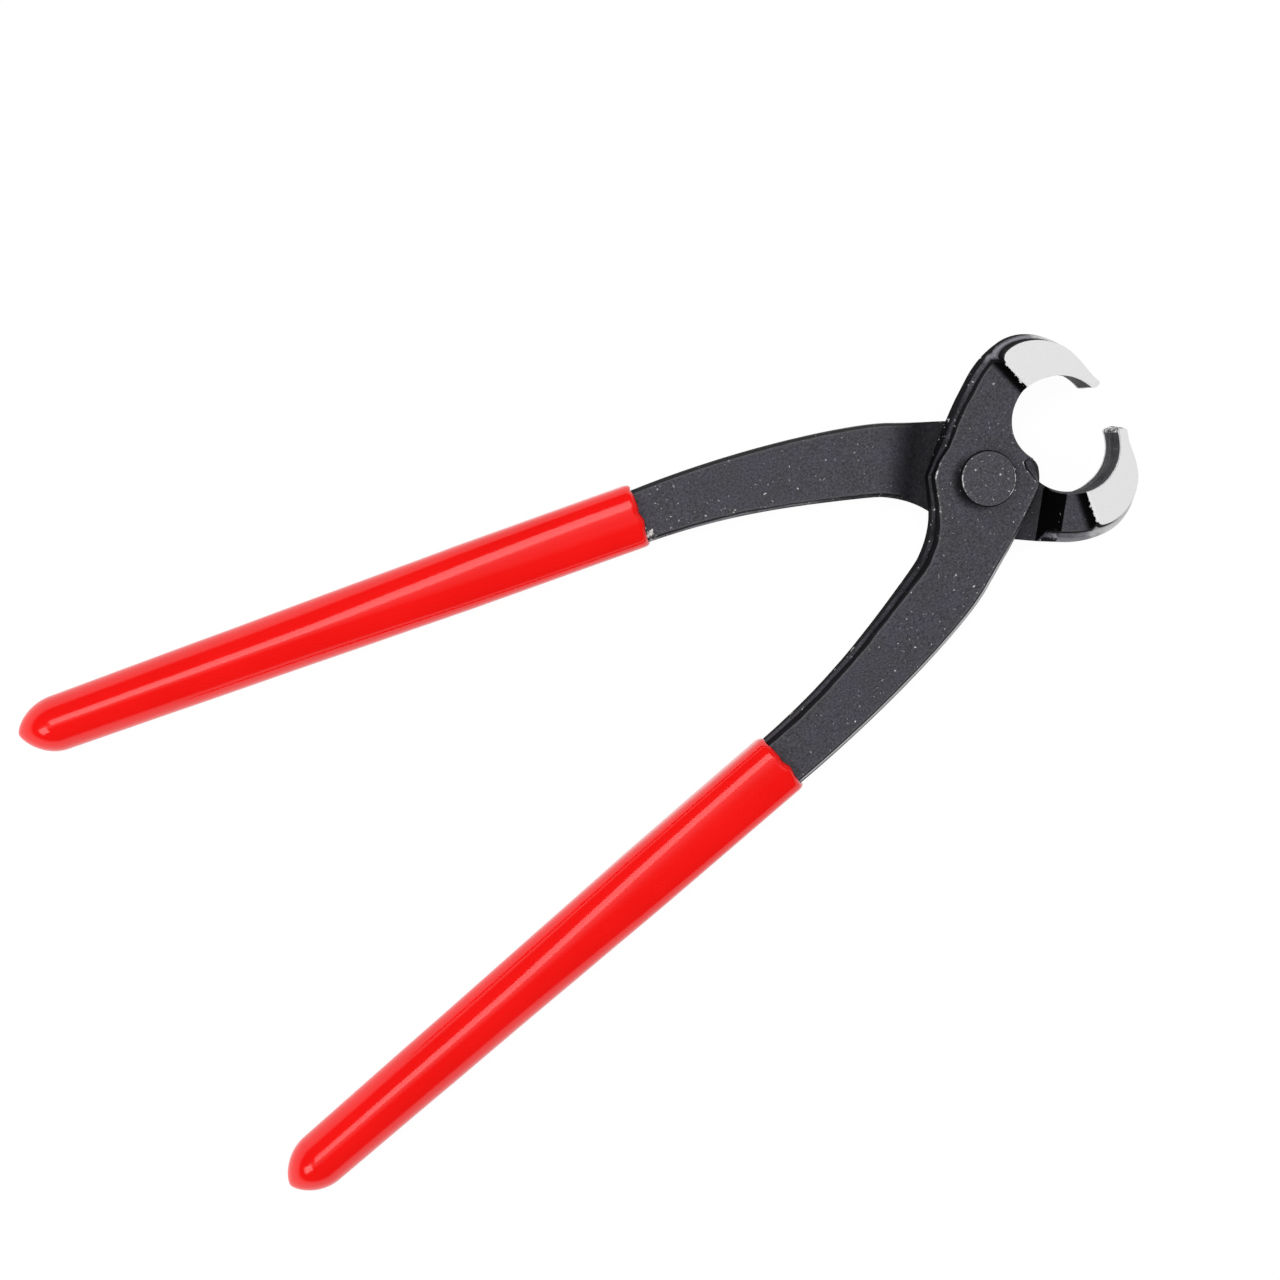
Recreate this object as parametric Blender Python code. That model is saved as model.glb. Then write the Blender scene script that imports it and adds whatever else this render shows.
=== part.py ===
# Ear clamp pliers: two identical forged levers in a lap joint, one rivet and two dipped sleeves.
# Sizes are in millimetres and angles in degrees. The origin is on the rivet's axis, on the plane
# the tool lies on, +X runs along the tool to the jaws and +Z points up through the rivet's head.

import math
from collections import namedtuple

import bmesh
import bpy
from mathutils import Vector

MM = 0.001

# Forging, drawn with the jaws shut: the tool's axis is X and this lever's own jaw is on +Y
JAW_WIDTH = 12.0
BODY_THICKNESS = 9.0
LAP_GAP = 0.3
TIP_GAP = 0.3
OPEN_ANGLE = 19.4

# Jaw: a round mouth inside, and outside a nose that thickens from the tip to the shoulder
MOUTH_RADIUS = 8.55
MOUTH_BITE = 1.75
TIP_WALL = 2.15
SHOULDER_WALL = 9.7
BACK_SWELL = 1.2
NOSE_START = 8.0
NOSE_END = 88.0
NOSE_SIDE_ANGLE = 45.0
CHEEK_ANGLE = 70.0

# Ground pads, a step above the body on both faces of the jaw
PAD_EDGE_ANGLE = 94.0
RISER_RUN = 1.1

# Boss round the rivet, with the lap recess and the ramps that close it
BOSS_RADIUS = 10.6
BOSS_CORNER_EASE = 14.0
BOSS_PEAK = 0.6
BOSS_PEAK_ANGLE = 138.0
PEAK_IN_SLOPE = 211.0
PEAK_OUT_SLOPE = 240.0
BEVEL_END_ANGLE = -46.0
BOSS_END_ANGLE = -50.0
BACK_SLOPE = 208.0
LAP_CLEARANCE = 0.7
JAW_RAMP_RUN = 3.9
JAW_RAMP_ANGLE = 29.0
HANDLE_LAP_CLEARANCE = 3.2
HANDLE_RAMP_RUN = 4.2

# Handle, from its neck behind the boss to the sleeve's mouth
NECK_LENGTH = 8.66
NECK_ANGLE = 211.6
NECK_SLOPE = 205.5
NECK_WIDTH = 14.7
NECK_PULL = 7.0
HEEL_SLOPE = 209.0
HEEL_PULL = 7.3
CROTCH_PULL = 7.6
SHANK_REACH = 64.6
SHANK_OFFSET = 16.8
SHANK_PULL = 22.0
SHANK_WIDTH = 12.0
INSIDE_SWELL = 0.4
HANDLE_SPLAY = 0.86

# Sleeve, and the tang that fills it
GRIP_LENGTH = 125.6
GRIP_WIDTH = 12.5
GRIP_END_WIDTH = 10.7
GRIP_THICKNESS = 12.0
GRIP_TAPER_START = 35.0
GRIP_LIP = 0.35
DRIP_LENGTH = 8.0
DRIP_POINT = 0.06
SIDE_WALL = 0.5
FACE_WALL = 1.5
END_WALL = 6.5
GRIP_CLEARANCE = 0.15
GRIP_SQUARENESS = 2.7
TANG_SQUARENESS = 4.5
TANG_END_ROUND = 4.0

# Rivet
RIVET_HEAD_RADIUS = 5.2
RIVET_TAIL_RADIUS = 4.9
RIVET_SHANK_RADIUS = 3.6
RIVET_HEAD_CHAMFER = 0.35
RIVET_TAIL_CHAMFER = 0.7
RIVET_HEIGHT = 1.5
RIVET_SEAT_GAP = 0.2
RIVET_HOLE_CLEARANCE = 0.15

# How far the forging's edges draw in from its outline, by place, above and below the parting line
CRISP_ROUND = 0.2
MOUTH_ROUND = 0.4
NOSE_ROUND = 0.5
CHEEK_ROUND = 1.6
BACK_ROUND = 2.4
SHOULDER_ROUND = 2.5
PEAK_ROUND = 1.7
CROTCH_ROUND = 2.6
INSIDE_ROUND = 2.0
SHANK_END_ROUND = 1.3
CORNER_ROUND = 1.5
HEEL_ROUND = 0.9
PALM_ROUND = 1.0
UNDER_ROUND = 0.8
PALM_UNDER_ROUND = 0.7
THROAT_BEVEL = 1.6

# Side of the forging, by share of the height from the parting line to a face: an outer wall, a ledge
# on the back only, a steep wall and a rounded edge. The throat's bevel starts at its own share.
LEDGE_FOOT, LEDGE_TOP, EDGE_FOOT = 0.40, 0.50, 0.90
EDGE_MIDDLE = 0.965
EDGE_INSET, EDGE_MIDDLE_INSET = 0.90, 0.93
BEVEL_FOOT = 0.72
FULL_START, LAP_START = 0.05, 0.38

# The ledge's outer and inner edges, as shares of the draw-in
PAD_LEDGE_OUT, PAD_LEDGE_IN = 0.20, 0.80
BACK_LEDGE_OUT, BACK_LEDGE_IN = 0.35, 0.75
CROTCH_LEDGE_OUT, CROTCH_LEDGE_IN = 0.12, 0.60
SHANK_LEDGE_OUT, SHANK_LEDGE_IN = 0.25, 0.70

# Facets: points up one side of a section, points round the rivet
SIDE_POINTS = 12
BITE_LEVELS = (LEDGE_FOOT, BEVEL_FOOT, EDGE_FOOT, EDGE_MIDDLE, 1.0)
BACK_LEVELS = (LEDGE_FOOT, LEDGE_TOP, EDGE_FOOT, EDGE_MIDDLE, 1.0)
ROUND_POINTS = 40
SHARP_ANGLE = 35.0
SEARCH_STEPS = 40

# Finishes: colour, roughness and metallic value
BLACK_STEEL = ((0.030, 0.030, 0.036, 1.0), 0.45, 0.6)
RIVET_STEEL = ((0.035, 0.035, 0.041, 1.0), 0.40, 0.6)
RED_VINYL = ((0.80, 0.012, 0.010, 1.0), 0.25, 0.0)

# Sizes that follow from the ones above
PIVOT = (0.0, 0.0)
HALF_BODY = BODY_THICKNESS / 2
HALF_JAW = JAW_WIDTH / 2
RIVET_END = HALF_BODY + RIVET_HEIGHT
MID_HEIGHT = max(HALF_JAW, GRIP_THICKNESS / 2, RIVET_END)
MOUTH_CENTRE = (BOSS_RADIUS - MOUTH_BITE + MOUTH_RADIUS, 0.0)
HANDLE_LAP_REACH = BOSS_RADIUS + HANDLE_LAP_CLEARANCE
TANG_MARGIN = SIDE_WALL + GRIP_CLEARANCE
TANG_WIDTH = GRIP_WIDTH - 2 * TANG_MARGIN
TANG_END_WIDTH = GRIP_END_WIDTH - 2 * TANG_MARGIN
TANG_THICKNESS = GRIP_THICKNESS - 2 * (FACE_WALL + GRIP_CLEARANCE)
TANG_LENGTH = GRIP_LENGTH - END_WALL - GRIP_CLEARANCE

# A section across the lever: how far its bite and back edges draw in above and below the parting line,
# its top and bottom faces' heights from the lap plane, the ledge's outer and inner shares of the back's
# draw-in, the throat's bevel, and how much of it is the tang's rounded bar.
Section = namedtuple("Section", "bite_round back_round bite_under back_under top bottom ledge_out ledge_in"
                     " bevel tang", defaults=(0.0, 0.0))

# A stretch between two sections. The bite rail runs from the mouth round the boss to the palm
# side of the handle, the back rail from the nose down the jaw's back to the handle's inside.
Span = namedtuple("Span", "bite back steps first last")


def mix(start, end, t):
    return start + (end - start) * t


def polar(centre, radius, degrees):
    angle = math.radians(degrees)
    return (centre[0] + radius * math.cos(angle), centre[1] + radius * math.sin(angle))


def heading(length, degrees):
    return polar(PIVOT, length, degrees)


def arc(centre, radius, start, end):
    return lambda t: polar(centre, radius, mix(start, end, t))


def curve(start, start_pull, end, end_pull):
    """A cubic curve that leaves start along start_pull and arrives at end along end_pull."""
    start, end = Vector(start), Vector(end)
    points = (start, start + Vector(start_pull), end - Vector(end_pull), end)

    def at(t):
        weights = ((1 - t) ** 3, 3 * t * (1 - t) ** 2, 3 * t * t * (1 - t), t ** 3)
        return tuple(sum((p * w for p, w in zip(points, weights)), Vector(PIVOT)))

    return at


def part_of(rail, start, end):
    return lambda t: rail(mix(start, end, t))


def last_where(test, low, high):
    """The highest value between low and high that passes a test which low passes."""
    for _ in range(SEARCH_STEPS):
        middle = (low + high) / 2
        if test(middle):
            low = middle
        else:
            high = middle
    return low


def mouth(start, end):
    return arc(MOUTH_CENTRE, MOUTH_RADIUS, start, end)


def boss(start, end):
    return arc(PIVOT, BOSS_RADIUS, start, end)


def nose_radius(degrees):
    """The jaw's outside, measured from the middle of the mouth."""
    rise = min(max((degrees - NOSE_START) / (NOSE_END - NOSE_START), 0.0), 1.0)
    wall = mix(TIP_WALL, SHOULDER_WALL, rise * rise * (3 - 2 * rise))
    swell = max(degrees - NOSE_END, 0.0) / (180.0 - NOSE_END)
    return MOUTH_RADIUS + wall + BACK_SWELL * swell


def nose(start, end):
    def at(t):
        degrees = mix(start, end, t)
        return polar(MOUTH_CENTRE, nose_radius(degrees), degrees)

    return at


def tip_angle(radius):
    return math.degrees(math.asin(TIP_GAP / 2 / radius))


def ramp_line(distance):
    """Angles about the mouth where a ramp's edge crosses the mouth's wall and the jaw's back."""
    across = Vector(heading(1.0, JAW_RAMP_ANGLE))
    offset = (distance - across.dot(Vector(MOUTH_CENTRE))) / MOUTH_RADIUS
    at_bite = JAW_RAMP_ANGLE + math.degrees(math.acos(offset))
    at_back = last_where(lambda a: across.dot(Vector(nose(a, a)(0.0))) > distance, 90.0, 160.0)
    return at_bite, at_back


def throat_corner():
    """Where the mouth leaves its circle, where the boss takes over, and the eased corner between."""
    gap = MOUTH_CENTRE[0]
    at_pivot = (gap ** 2 + BOSS_RADIUS ** 2 - MOUTH_RADIUS ** 2) / (2 * gap * BOSS_RADIUS)
    at_mouth = (gap ** 2 + MOUTH_RADIUS ** 2 - BOSS_RADIUS ** 2) / (2 * gap * MOUTH_RADIUS)
    leave = 180.0 + math.degrees(math.acos(at_mouth)) - BOSS_CORNER_EASE
    arrive = -math.degrees(math.acos(at_pivot)) - BOSS_CORNER_EASE
    start, end = mouth(leave, leave)(0.0), boss(arrive, arrive)(0.0)
    pull = math.dist(start, end) / 3
    return leave, arrive, curve(start, heading(pull, leave + 90.0), end, heading(pull, arrive - 90.0))


def handle_middle():
    """The handle's curved middle line, and the sleeve's start and direction."""
    neck = polar(PIVOT, BOSS_RADIUS + NECK_LENGTH, NECK_ANGLE)
    end, axis = (-SHANK_REACH, -SHANK_OFFSET), 180.0 + HANDLE_SPLAY
    middle = curve(neck, heading(NECK_PULL, NECK_SLOPE), end, heading(SHANK_PULL, axis))
    return middle, Vector(end), Vector(heading(1.0, axis))


def handle_edge(side):
    """One edge of the shank, square to its middle line."""
    middle = handle_middle()[0]
    nudge = 0.001

    def at(t):
        along = Vector(middle(min(t + nudge, 1.0))) - Vector(middle(max(t - nudge, 0.0)))
        across = Vector((-along.y, along.x)).normalized()
        width = (1 - t) ** 2 * NECK_WIDTH + 2 * t * (1 - t) * SHANK_WIDTH + t * t * TANG_WIDTH
        swell = INSIDE_SWELL * math.sin(math.pi * t) if side < 0 else 0.0
        return tuple(Vector(middle(t)) + across * side * (width / 2 + swell))

    return at


def tang_half_width(distance):
    """Half the tang's width at this distance inside the sleeve."""
    taper = max(distance - GRIP_TAPER_START, 0.0) / (GRIP_LENGTH - GRIP_TAPER_START)
    return mix(TANG_WIDTH, TANG_END_WIDTH, taper) / 2


def tang_edge(side, first, last):
    """One edge of the tang, drawn in round its end."""
    _, start, axis = handle_middle()
    across = Vector((-axis.y, axis.x))
    smallest = 0.2

    def at(t):
        distance = mix(first, last, t)
        short = max(1 - (TANG_LENGTH - distance) / TANG_END_ROUND, 0.0)
        share = max(math.sqrt(1 - short ** 2), smallest)
        return tuple(start + axis * distance + across * side * share * tang_half_width(distance))

    return at


def jaw_spans():
    """The jaw, from its tip over the ground pad to the foot of the lap's ramp."""
    tip = Section(CRISP_ROUND, CRISP_ROUND, CRISP_ROUND, CRISP_ROUND, HALF_JAW, -HALF_JAW,
                  PAD_LEDGE_OUT, PAD_LEDGE_IN)
    nose_side = tip._replace(back_round=NOSE_ROUND, back_under=NOSE_ROUND)
    cheek = tip._replace(back_round=CHEEK_ROUND, back_under=CHEEK_ROUND)
    pad_edge = tip._replace(back_round=BACK_ROUND, back_under=BACK_ROUND)
    step_foot = pad_edge._replace(top=HALF_BODY, bottom=-HALF_BODY, ledge_out=BACK_LEDGE_OUT,
                                  ledge_in=BACK_LEDGE_IN)
    ramp_foot = step_foot._replace(bite_round=MOUTH_ROUND, back_round=SHOULDER_ROUND, bottom=LAP_GAP / 2)
    tip_bite, tip_back = tip_angle(MOUTH_RADIUS), tip_angle(MOUTH_RADIUS + TIP_WALL)
    riser_bite = PAD_EDGE_ANGLE + math.degrees(RISER_RUN / MOUTH_RADIUS)
    riser_back = PAD_EDGE_ANGLE + math.degrees(RISER_RUN / nose_radius(PAD_EDGE_ANGLE))
    foot_bite, foot_back = ramp_line(BOSS_RADIUS + LAP_CLEARANCE)
    top_bite, top_back = ramp_line(BOSS_RADIUS + LAP_CLEARANCE + JAW_RAMP_RUN)
    side, cheek_at, edge = NOSE_SIDE_ANGLE, CHEEK_ANGLE, PAD_EDGE_ANGLE
    return [
        Span(mouth(tip_bite, side), nose(tip_back, side), 6, tip, nose_side),
        Span(mouth(side, cheek_at), nose(side, cheek_at), 4, nose_side, cheek),
        Span(mouth(cheek_at, edge), nose(cheek_at, edge), 3, cheek, pad_edge),
        Span(mouth(edge, riser_bite), nose(edge, riser_back), 1, pad_edge, step_foot),
        Span(mouth(riser_bite, top_bite), nose(riser_back, top_back), 2, step_foot, step_foot),
        Span(mouth(top_bite, foot_bite), nose(top_back, foot_back), 4, step_foot, ramp_foot),
    ]


def joint_spans():
    """The half-thickness lap round the rivet, and the ramp that leads into the handle."""
    throat = Section(MOUTH_ROUND, SHOULDER_ROUND, 0.0, 0.0, HALF_BODY, LAP_GAP / 2,
                     BACK_LEDGE_OUT, BACK_LEDGE_IN)
    throat_end = throat._replace(bevel=THROAT_BEVEL / 2)
    corner_end = throat._replace(bite_round=CORNER_ROUND, back_round=PEAK_ROUND, bevel=THROAT_BEVEL,
                                 ledge_out=CROTCH_LEDGE_OUT, ledge_in=CROTCH_LEDGE_IN)
    bevel_end = corner_end._replace(bite_round=HEEL_ROUND, bevel=0.0)
    boss_end = bevel_end._replace(back_round=CROTCH_ROUND)
    lap_end = boss_end._replace(bite_under=PALM_UNDER_ROUND, back_under=UNDER_ROUND)
    handle = lap_end._replace(bite_round=PALM_ROUND, bottom=-HALF_BODY)
    palm, inside = handle_edge(1), handle_edge(-1)
    leave, arrive, corner = throat_corner()
    foot_bite, foot_back = ramp_line(BOSS_RADIUS + LAP_CLEARANCE)

    # The jaw's back runs down to the boss, and the boss's far side into the crotch
    back_foot = nose(foot_back, foot_back)(0.0)
    peak = polar(PIVOT, BOSS_RADIUS + BOSS_PEAK, BOSS_PEAK_ANGLE)
    pull = math.dist(back_foot, peak) / 3
    shoulder = curve(back_foot, heading(pull, BACK_SLOPE), peak, heading(pull, PEAK_IN_SLOPE))
    pull = math.dist(peak, inside(0.0)) / 3
    crotch = curve(peak, heading(pull, PEAK_OUT_SLOPE), inside(0.0), heading(CROTCH_PULL, NECK_SLOPE))
    heel_start = polar(PIVOT, BOSS_RADIUS, BOSS_END_ANGLE)
    pull = math.dist(heel_start, palm(0.0)) / 3
    heel = curve(heel_start, heading(pull, HEEL_SLOPE), palm(0.0), heading(HEEL_PULL, NECK_SLOPE))

    # Shares of the shoulder and the crotch that lie opposite the throat, its corner and the boss
    throat_share, corner_share, bevel_share, boss_share = 0.45, 0.6, 0.03, 0.08
    crotch_rest = part_of(crotch, boss_share, 1.0)

    def clear_of_pivot(t):
        """The distance from the pivot to the section at this share of the heel and crotch."""
        a, b = Vector(heel(t)), Vector(crotch_rest(t))
        return abs(a.x * b.y - a.y * b.x) / (b - a).length

    foot = last_where(lambda t: clear_of_pivot(t) < HANDLE_LAP_REACH, 0.0, 1.0)
    top = last_where(lambda t: clear_of_pivot(t) < HANDLE_LAP_REACH + HANDLE_RAMP_RUN, 0.0, 1.0)
    return [
        Span(mouth(foot_bite, 180.0), part_of(shoulder, 0.0, throat_share), 3, throat, throat),
        Span(mouth(180.0, leave), part_of(shoulder, throat_share, corner_share), 2, throat, throat_end),
        Span(corner, part_of(shoulder, corner_share, 1.0), 5, throat_end, corner_end),
        Span(boss(arrive, BEVEL_END_ANGLE), part_of(crotch, 0.0, bevel_share), 2, corner_end, bevel_end),
        Span(boss(BEVEL_END_ANGLE, BOSS_END_ANGLE), part_of(crotch, bevel_share, boss_share), 3,
             bevel_end, boss_end),
        Span(part_of(heel, 0.0, foot), part_of(crotch_rest, 0.0, foot), 4, boss_end, lap_end),
        Span(part_of(heel, foot, top), part_of(crotch_rest, foot, top), 4, lap_end, handle),
        Span(part_of(heel, top, 1.0), part_of(crotch_rest, top, 1.0), 1, handle, handle),
    ]


def handle_spans():
    """The bare shank, and the tang that goes into the sleeve."""
    half = TANG_THICKNESS / 2
    neck = Section(PALM_ROUND, CROTCH_ROUND, PALM_UNDER_ROUND, UNDER_ROUND, HALF_BODY, -HALF_BODY,
                   CROTCH_LEDGE_OUT, CROTCH_LEDGE_IN)
    middle = neck._replace(back_round=INSIDE_ROUND, ledge_out=SHANK_LEDGE_OUT, ledge_in=SHANK_LEDGE_IN)
    shank_end = middle._replace(back_round=SHANK_END_ROUND, top=half, bottom=-half)
    tang = shank_end._replace(tang=1.0)
    tang_end = tang._replace(top=half / 2, bottom=-half / 2)
    palm, inside = handle_edge(1), handle_edge(-1)
    round_start = TANG_LENGTH - TANG_END_ROUND
    middle_share, bare_share = 0.4, 0.9
    return [
        Span(part_of(palm, 0.0, middle_share), part_of(inside, 0.0, middle_share), 6, neck, middle),
        Span(part_of(palm, middle_share, bare_share), part_of(inside, middle_share, bare_share), 5,
             middle, shank_end),
        Span(part_of(palm, bare_share, 1.0), part_of(inside, bare_share, 1.0), 2, shank_end, tang),
        Span(tang_edge(1, 0.0, round_start), tang_edge(-1, 0.0, round_start), 9, tang, tang),
        Span(tang_edge(1, round_start, TANG_LENGTH), tang_edge(-1, round_start, TANG_LENGTH), 4,
             tang, tang_end),
    ]


def draw_in(level, ledge_out, ledge_in):
    """How much of its draw-in a side has used up at this share of the height."""
    knots = ((0.0, 0.0), (LEDGE_FOOT, ledge_out), (LEDGE_TOP, ledge_in), (EDGE_FOOT, EDGE_INSET),
             (EDGE_MIDDLE, EDGE_MIDDLE_INSET), (1.0, 1.0))
    for (low, start), (high, end) in zip(knots, knots[1:]):
        if level <= high:
            return mix(start, end, (level - low) / (high - low))
    return 1.0


def height_at(level, reach):
    """Height of a level on a side that reaches this far: the ledge stays level beside the raised pad."""
    ledge = LEDGE_TOP * min(reach, HALF_BODY)
    if level <= LEDGE_TOP:
        return ledge * level / LEDGE_TOP
    return mix(ledge, reach, (level - LEDGE_TOP) / (1 - LEDGE_TOP))


def side_points(section, levels, over, under, ledge, bevel):
    """Heights and draw-ins up one side, from the bottom face to the top face."""
    depth = max(-section.bottom, 0.0)
    lapped = max(1 - depth / HALF_BODY, 0.0)
    first = mix(FULL_START, LAP_START, lapped)
    start = height_at(first, section.top)
    points = []
    for level in reversed((FULL_START, *levels)):
        height = mix(-height_at(level, depth), mix(section.bottom, start, 1 - level), lapped)
        above = over * draw_in(max(height, 0.0) / section.top, *ledge)
        points.append((height, mix(under * draw_in(level, *ledge), above, lapped)))
    for level in (first, *levels):
        cut = bevel * max(level - BEVEL_FOOT, 0.0) / (1 - BEVEL_FOOT)
        points.append((height_at(level, section.top), over * draw_in(level, *ledge) + cut))
    return points


def bar_ring(half_width, half_thickness, squareness):
    """A rounded bar's section, up the far side and down the near side."""
    ring = []
    for i in range(2 * SIDE_POINTS):
        angle = math.pi * (i + 0.5) / SIDE_POINTS - math.pi / 2
        across = math.copysign(abs(math.cos(angle)) ** (2 / squareness), math.cos(angle))
        up = math.copysign(abs(math.sin(angle)) ** (2 / squareness), math.sin(angle))
        ring.append((across * half_width, up * half_thickness))
    return ring


def lever_ring(span, t):
    bite, back = Vector(span.bite(t)), Vector(span.back(t))
    section = Section(*(mix(a, b, t) for a, b in zip(span.first, span.last)))
    middle, across = (bite + back) / 2, (bite - back).normalized()
    half = (bite - back).length / 2
    bite_side = side_points(section, BITE_LEVELS, section.bite_round, section.bite_under,
                            (LEDGE_FOOT, LEDGE_TOP), section.bevel)
    back_side = side_points(section, BACK_LEVELS, section.back_round, section.back_under,
                            (section.ledge_out, section.ledge_in), 0.0)
    places = [(half - inset, height) for height, inset in bite_side]
    places += [(inset - half, height) for height, inset in reversed(back_side)]
    ring = []
    for (side, height), bar in zip(places, bar_ring(half, section.top, TANG_SQUARENESS)):
        place = middle + across * mix(side, bar[0], section.tang)
        ring.append(Vector((place.x, place.y, mix(height, bar[1], section.tang))) * MM)
    return ring


def skin(name, rings):
    """A closed body through rings of equal count, capped at both ends."""
    mesh = bmesh.new()
    loops = [[mesh.verts.new(point) for point in ring] for ring in rings]
    mesh.faces.new(loops[0])
    mesh.faces.new(loops[-1])
    for first, second in zip(loops, loops[1:]):
        for i in range(len(first)):
            j = (i + 1) % len(first)
            mesh.faces.new((first[i], first[j], second[j], second[i]))
    bmesh.ops.recalc_face_normals(mesh, faces=mesh.faces[:])
    data = bpy.data.meshes.new(name)
    mesh.to_mesh(data)
    mesh.free()
    data.shade_smooth()
    data.set_sharp_from_angle(angle=math.radians(SHARP_ANGLE))
    return data


def lever_mesh():
    rings = []
    for span in jaw_spans() + joint_spans() + handle_spans():
        first = 1 if rings else 0
        rings += [lever_ring(span, i / span.steps) for i in range(first, span.steps + 1)]
    return skin("lever", rings)


def grip_mesh():
    """A dipped sleeve with a blind bore, a rounded lip and a drawn-out drip at its end."""
    _, start, axis = handle_middle()
    across = Vector((-axis.y, axis.x))

    def place(distance, half_width, half_thickness, squareness):
        ring = []
        for side, up in bar_ring(half_width, half_thickness, squareness):
            spot = start + axis * distance + across * side
            ring.append(Vector((spot.x, spot.y, up)) * MM)
        return ring

    def outside(distance, inset=0.0, share=1.0):
        half_width = (tang_half_width(distance) + TANG_MARGIN - inset) * share
        half_thickness = (GRIP_THICKNESS / 2 - inset) * share
        return place(distance, half_width, half_thickness, GRIP_SQUARENESS)

    def bore(distance):
        half_width = tang_half_width(min(distance, TANG_LENGTH)) + GRIP_CLEARANCE
        return place(distance, half_width, TANG_THICKNESS / 2 + GRIP_CLEARANCE, TANG_SQUARENESS)

    drip_start = GRIP_LENGTH - DRIP_LENGTH
    straight_steps, drip_steps, bore_steps = 12, 7, 8
    lip_middle = 0.3 * GRIP_LIP
    rings = [outside(0.0, GRIP_LIP), outside(lip_middle, lip_middle)]
    for i in range(straight_steps + 1):
        rings.append(outside(mix(GRIP_LIP, drip_start, i / straight_steps)))
    for i in range(1, drip_steps + 1):
        along = math.sin(math.pi / 2 * i / drip_steps)
        share = max((1 - along ** 2.2) ** 0.55, DRIP_POINT)
        rings.append(outside(drip_start + DRIP_LENGTH * along, share=share))
    bore_end = TANG_LENGTH + GRIP_CLEARANCE
    inner = [bore(bore_end * i / bore_steps) for i in range(bore_steps + 1)]
    return skin("grip", list(reversed(rings)) + inner)


def turned(name, profile):
    """A round body through (radius, height) points on the pivot's axis."""
    rings = []
    for radius, height in profile:
        spots = [heading(radius, 360.0 * i / ROUND_POINTS) for i in range(ROUND_POINTS)]
        rings.append([Vector((x, y, height)) * MM for x, y in spots])
    return skin(name, rings)


def rivet_mesh():
    """Flat head, shank through both levers and a peened tail."""
    seat = HALF_BODY + RIVET_SEAT_GAP
    return turned("rivet", [
        (RIVET_HEAD_RADIUS - RIVET_HEAD_CHAMFER, RIVET_END),
        (RIVET_HEAD_RADIUS, RIVET_END - RIVET_HEAD_CHAMFER),
        (RIVET_HEAD_RADIUS, seat),
        (RIVET_SHANK_RADIUS, seat),
        (RIVET_SHANK_RADIUS, -seat),
        (RIVET_TAIL_RADIUS, -seat),
        (RIVET_TAIL_RADIUS, RIVET_TAIL_CHAMFER - RIVET_END),
        (RIVET_TAIL_RADIUS - RIVET_TAIL_CHAMFER, -RIVET_END),
    ])


def material(name, finish):
    colour, roughness, metallic = finish
    made = bpy.data.materials.new(name)
    made.use_nodes = True
    shader = made.node_tree.nodes["Principled BSDF"]
    shader.inputs["Base Color"].default_value = colour
    shader.inputs["Roughness"].default_value = roughness
    shader.inputs["Metallic"].default_value = metallic
    return made


def add(name, mesh, parent=None):
    piece = bpy.data.objects.new(name, mesh)
    bpy.context.scene.collection.objects.link(piece)
    piece.parent = parent
    return piece


def rivet_hole():
    """The hole both levers share: a cutter on the pivot's axis."""
    radius = RIVET_SHANK_RADIUS + RIVET_HOLE_CLEARANCE
    cutter = add("rivet_hole", turned("rivet_hole", [(radius, -JAW_WIDTH), (radius, JAW_WIDTH)]))
    cutter.location.z = MID_HEIGHT * MM
    cutter.hide_render = True
    cutter.display_type = "WIRE"
    return cutter


def build():
    for old in list(bpy.data.objects):
        bpy.data.objects.remove(old)
    lever_shape, grip_shape, rivet_shape = lever_mesh(), grip_mesh(), rivet_mesh()
    lever_shape.materials.append(material("black_steel", BLACK_STEEL))
    grip_shape.materials.append(material("red_vinyl", RED_VINYL))
    rivet_shape.materials.append(material("rivet_steel", RIVET_STEEL))
    hole = rivet_hole()
    half_open = math.radians(OPEN_ANGLE / 2)
    turns = {"front": (0.0, 0.0, half_open), "rear": (math.pi, 0.0, -half_open)}
    for side, turn in turns.items():
        lever = add(side + "_lever", lever_shape)
        lever.location.z = MID_HEIGHT * MM
        lever.rotation_euler = turn
        cut = lever.modifiers.new("rivet hole", "BOOLEAN")
        cut.operation = "DIFFERENCE"
        cut.object = hole
        add(side + "_grip", grip_shape, lever)
    rivet = add("pivot_rivet", rivet_shape)
    rivet.location.z = MID_HEIGHT * MM


build()
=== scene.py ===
# Ear clamp pliers, dressed for the camera: the two forged levers, the rivet and the dipped sleeves of
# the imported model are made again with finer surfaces, and each gets its finish.
# Shapes are worked out in millimetres and degrees, and points on the tool's plane are complex numbers.

import math
from collections import namedtuple

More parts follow.
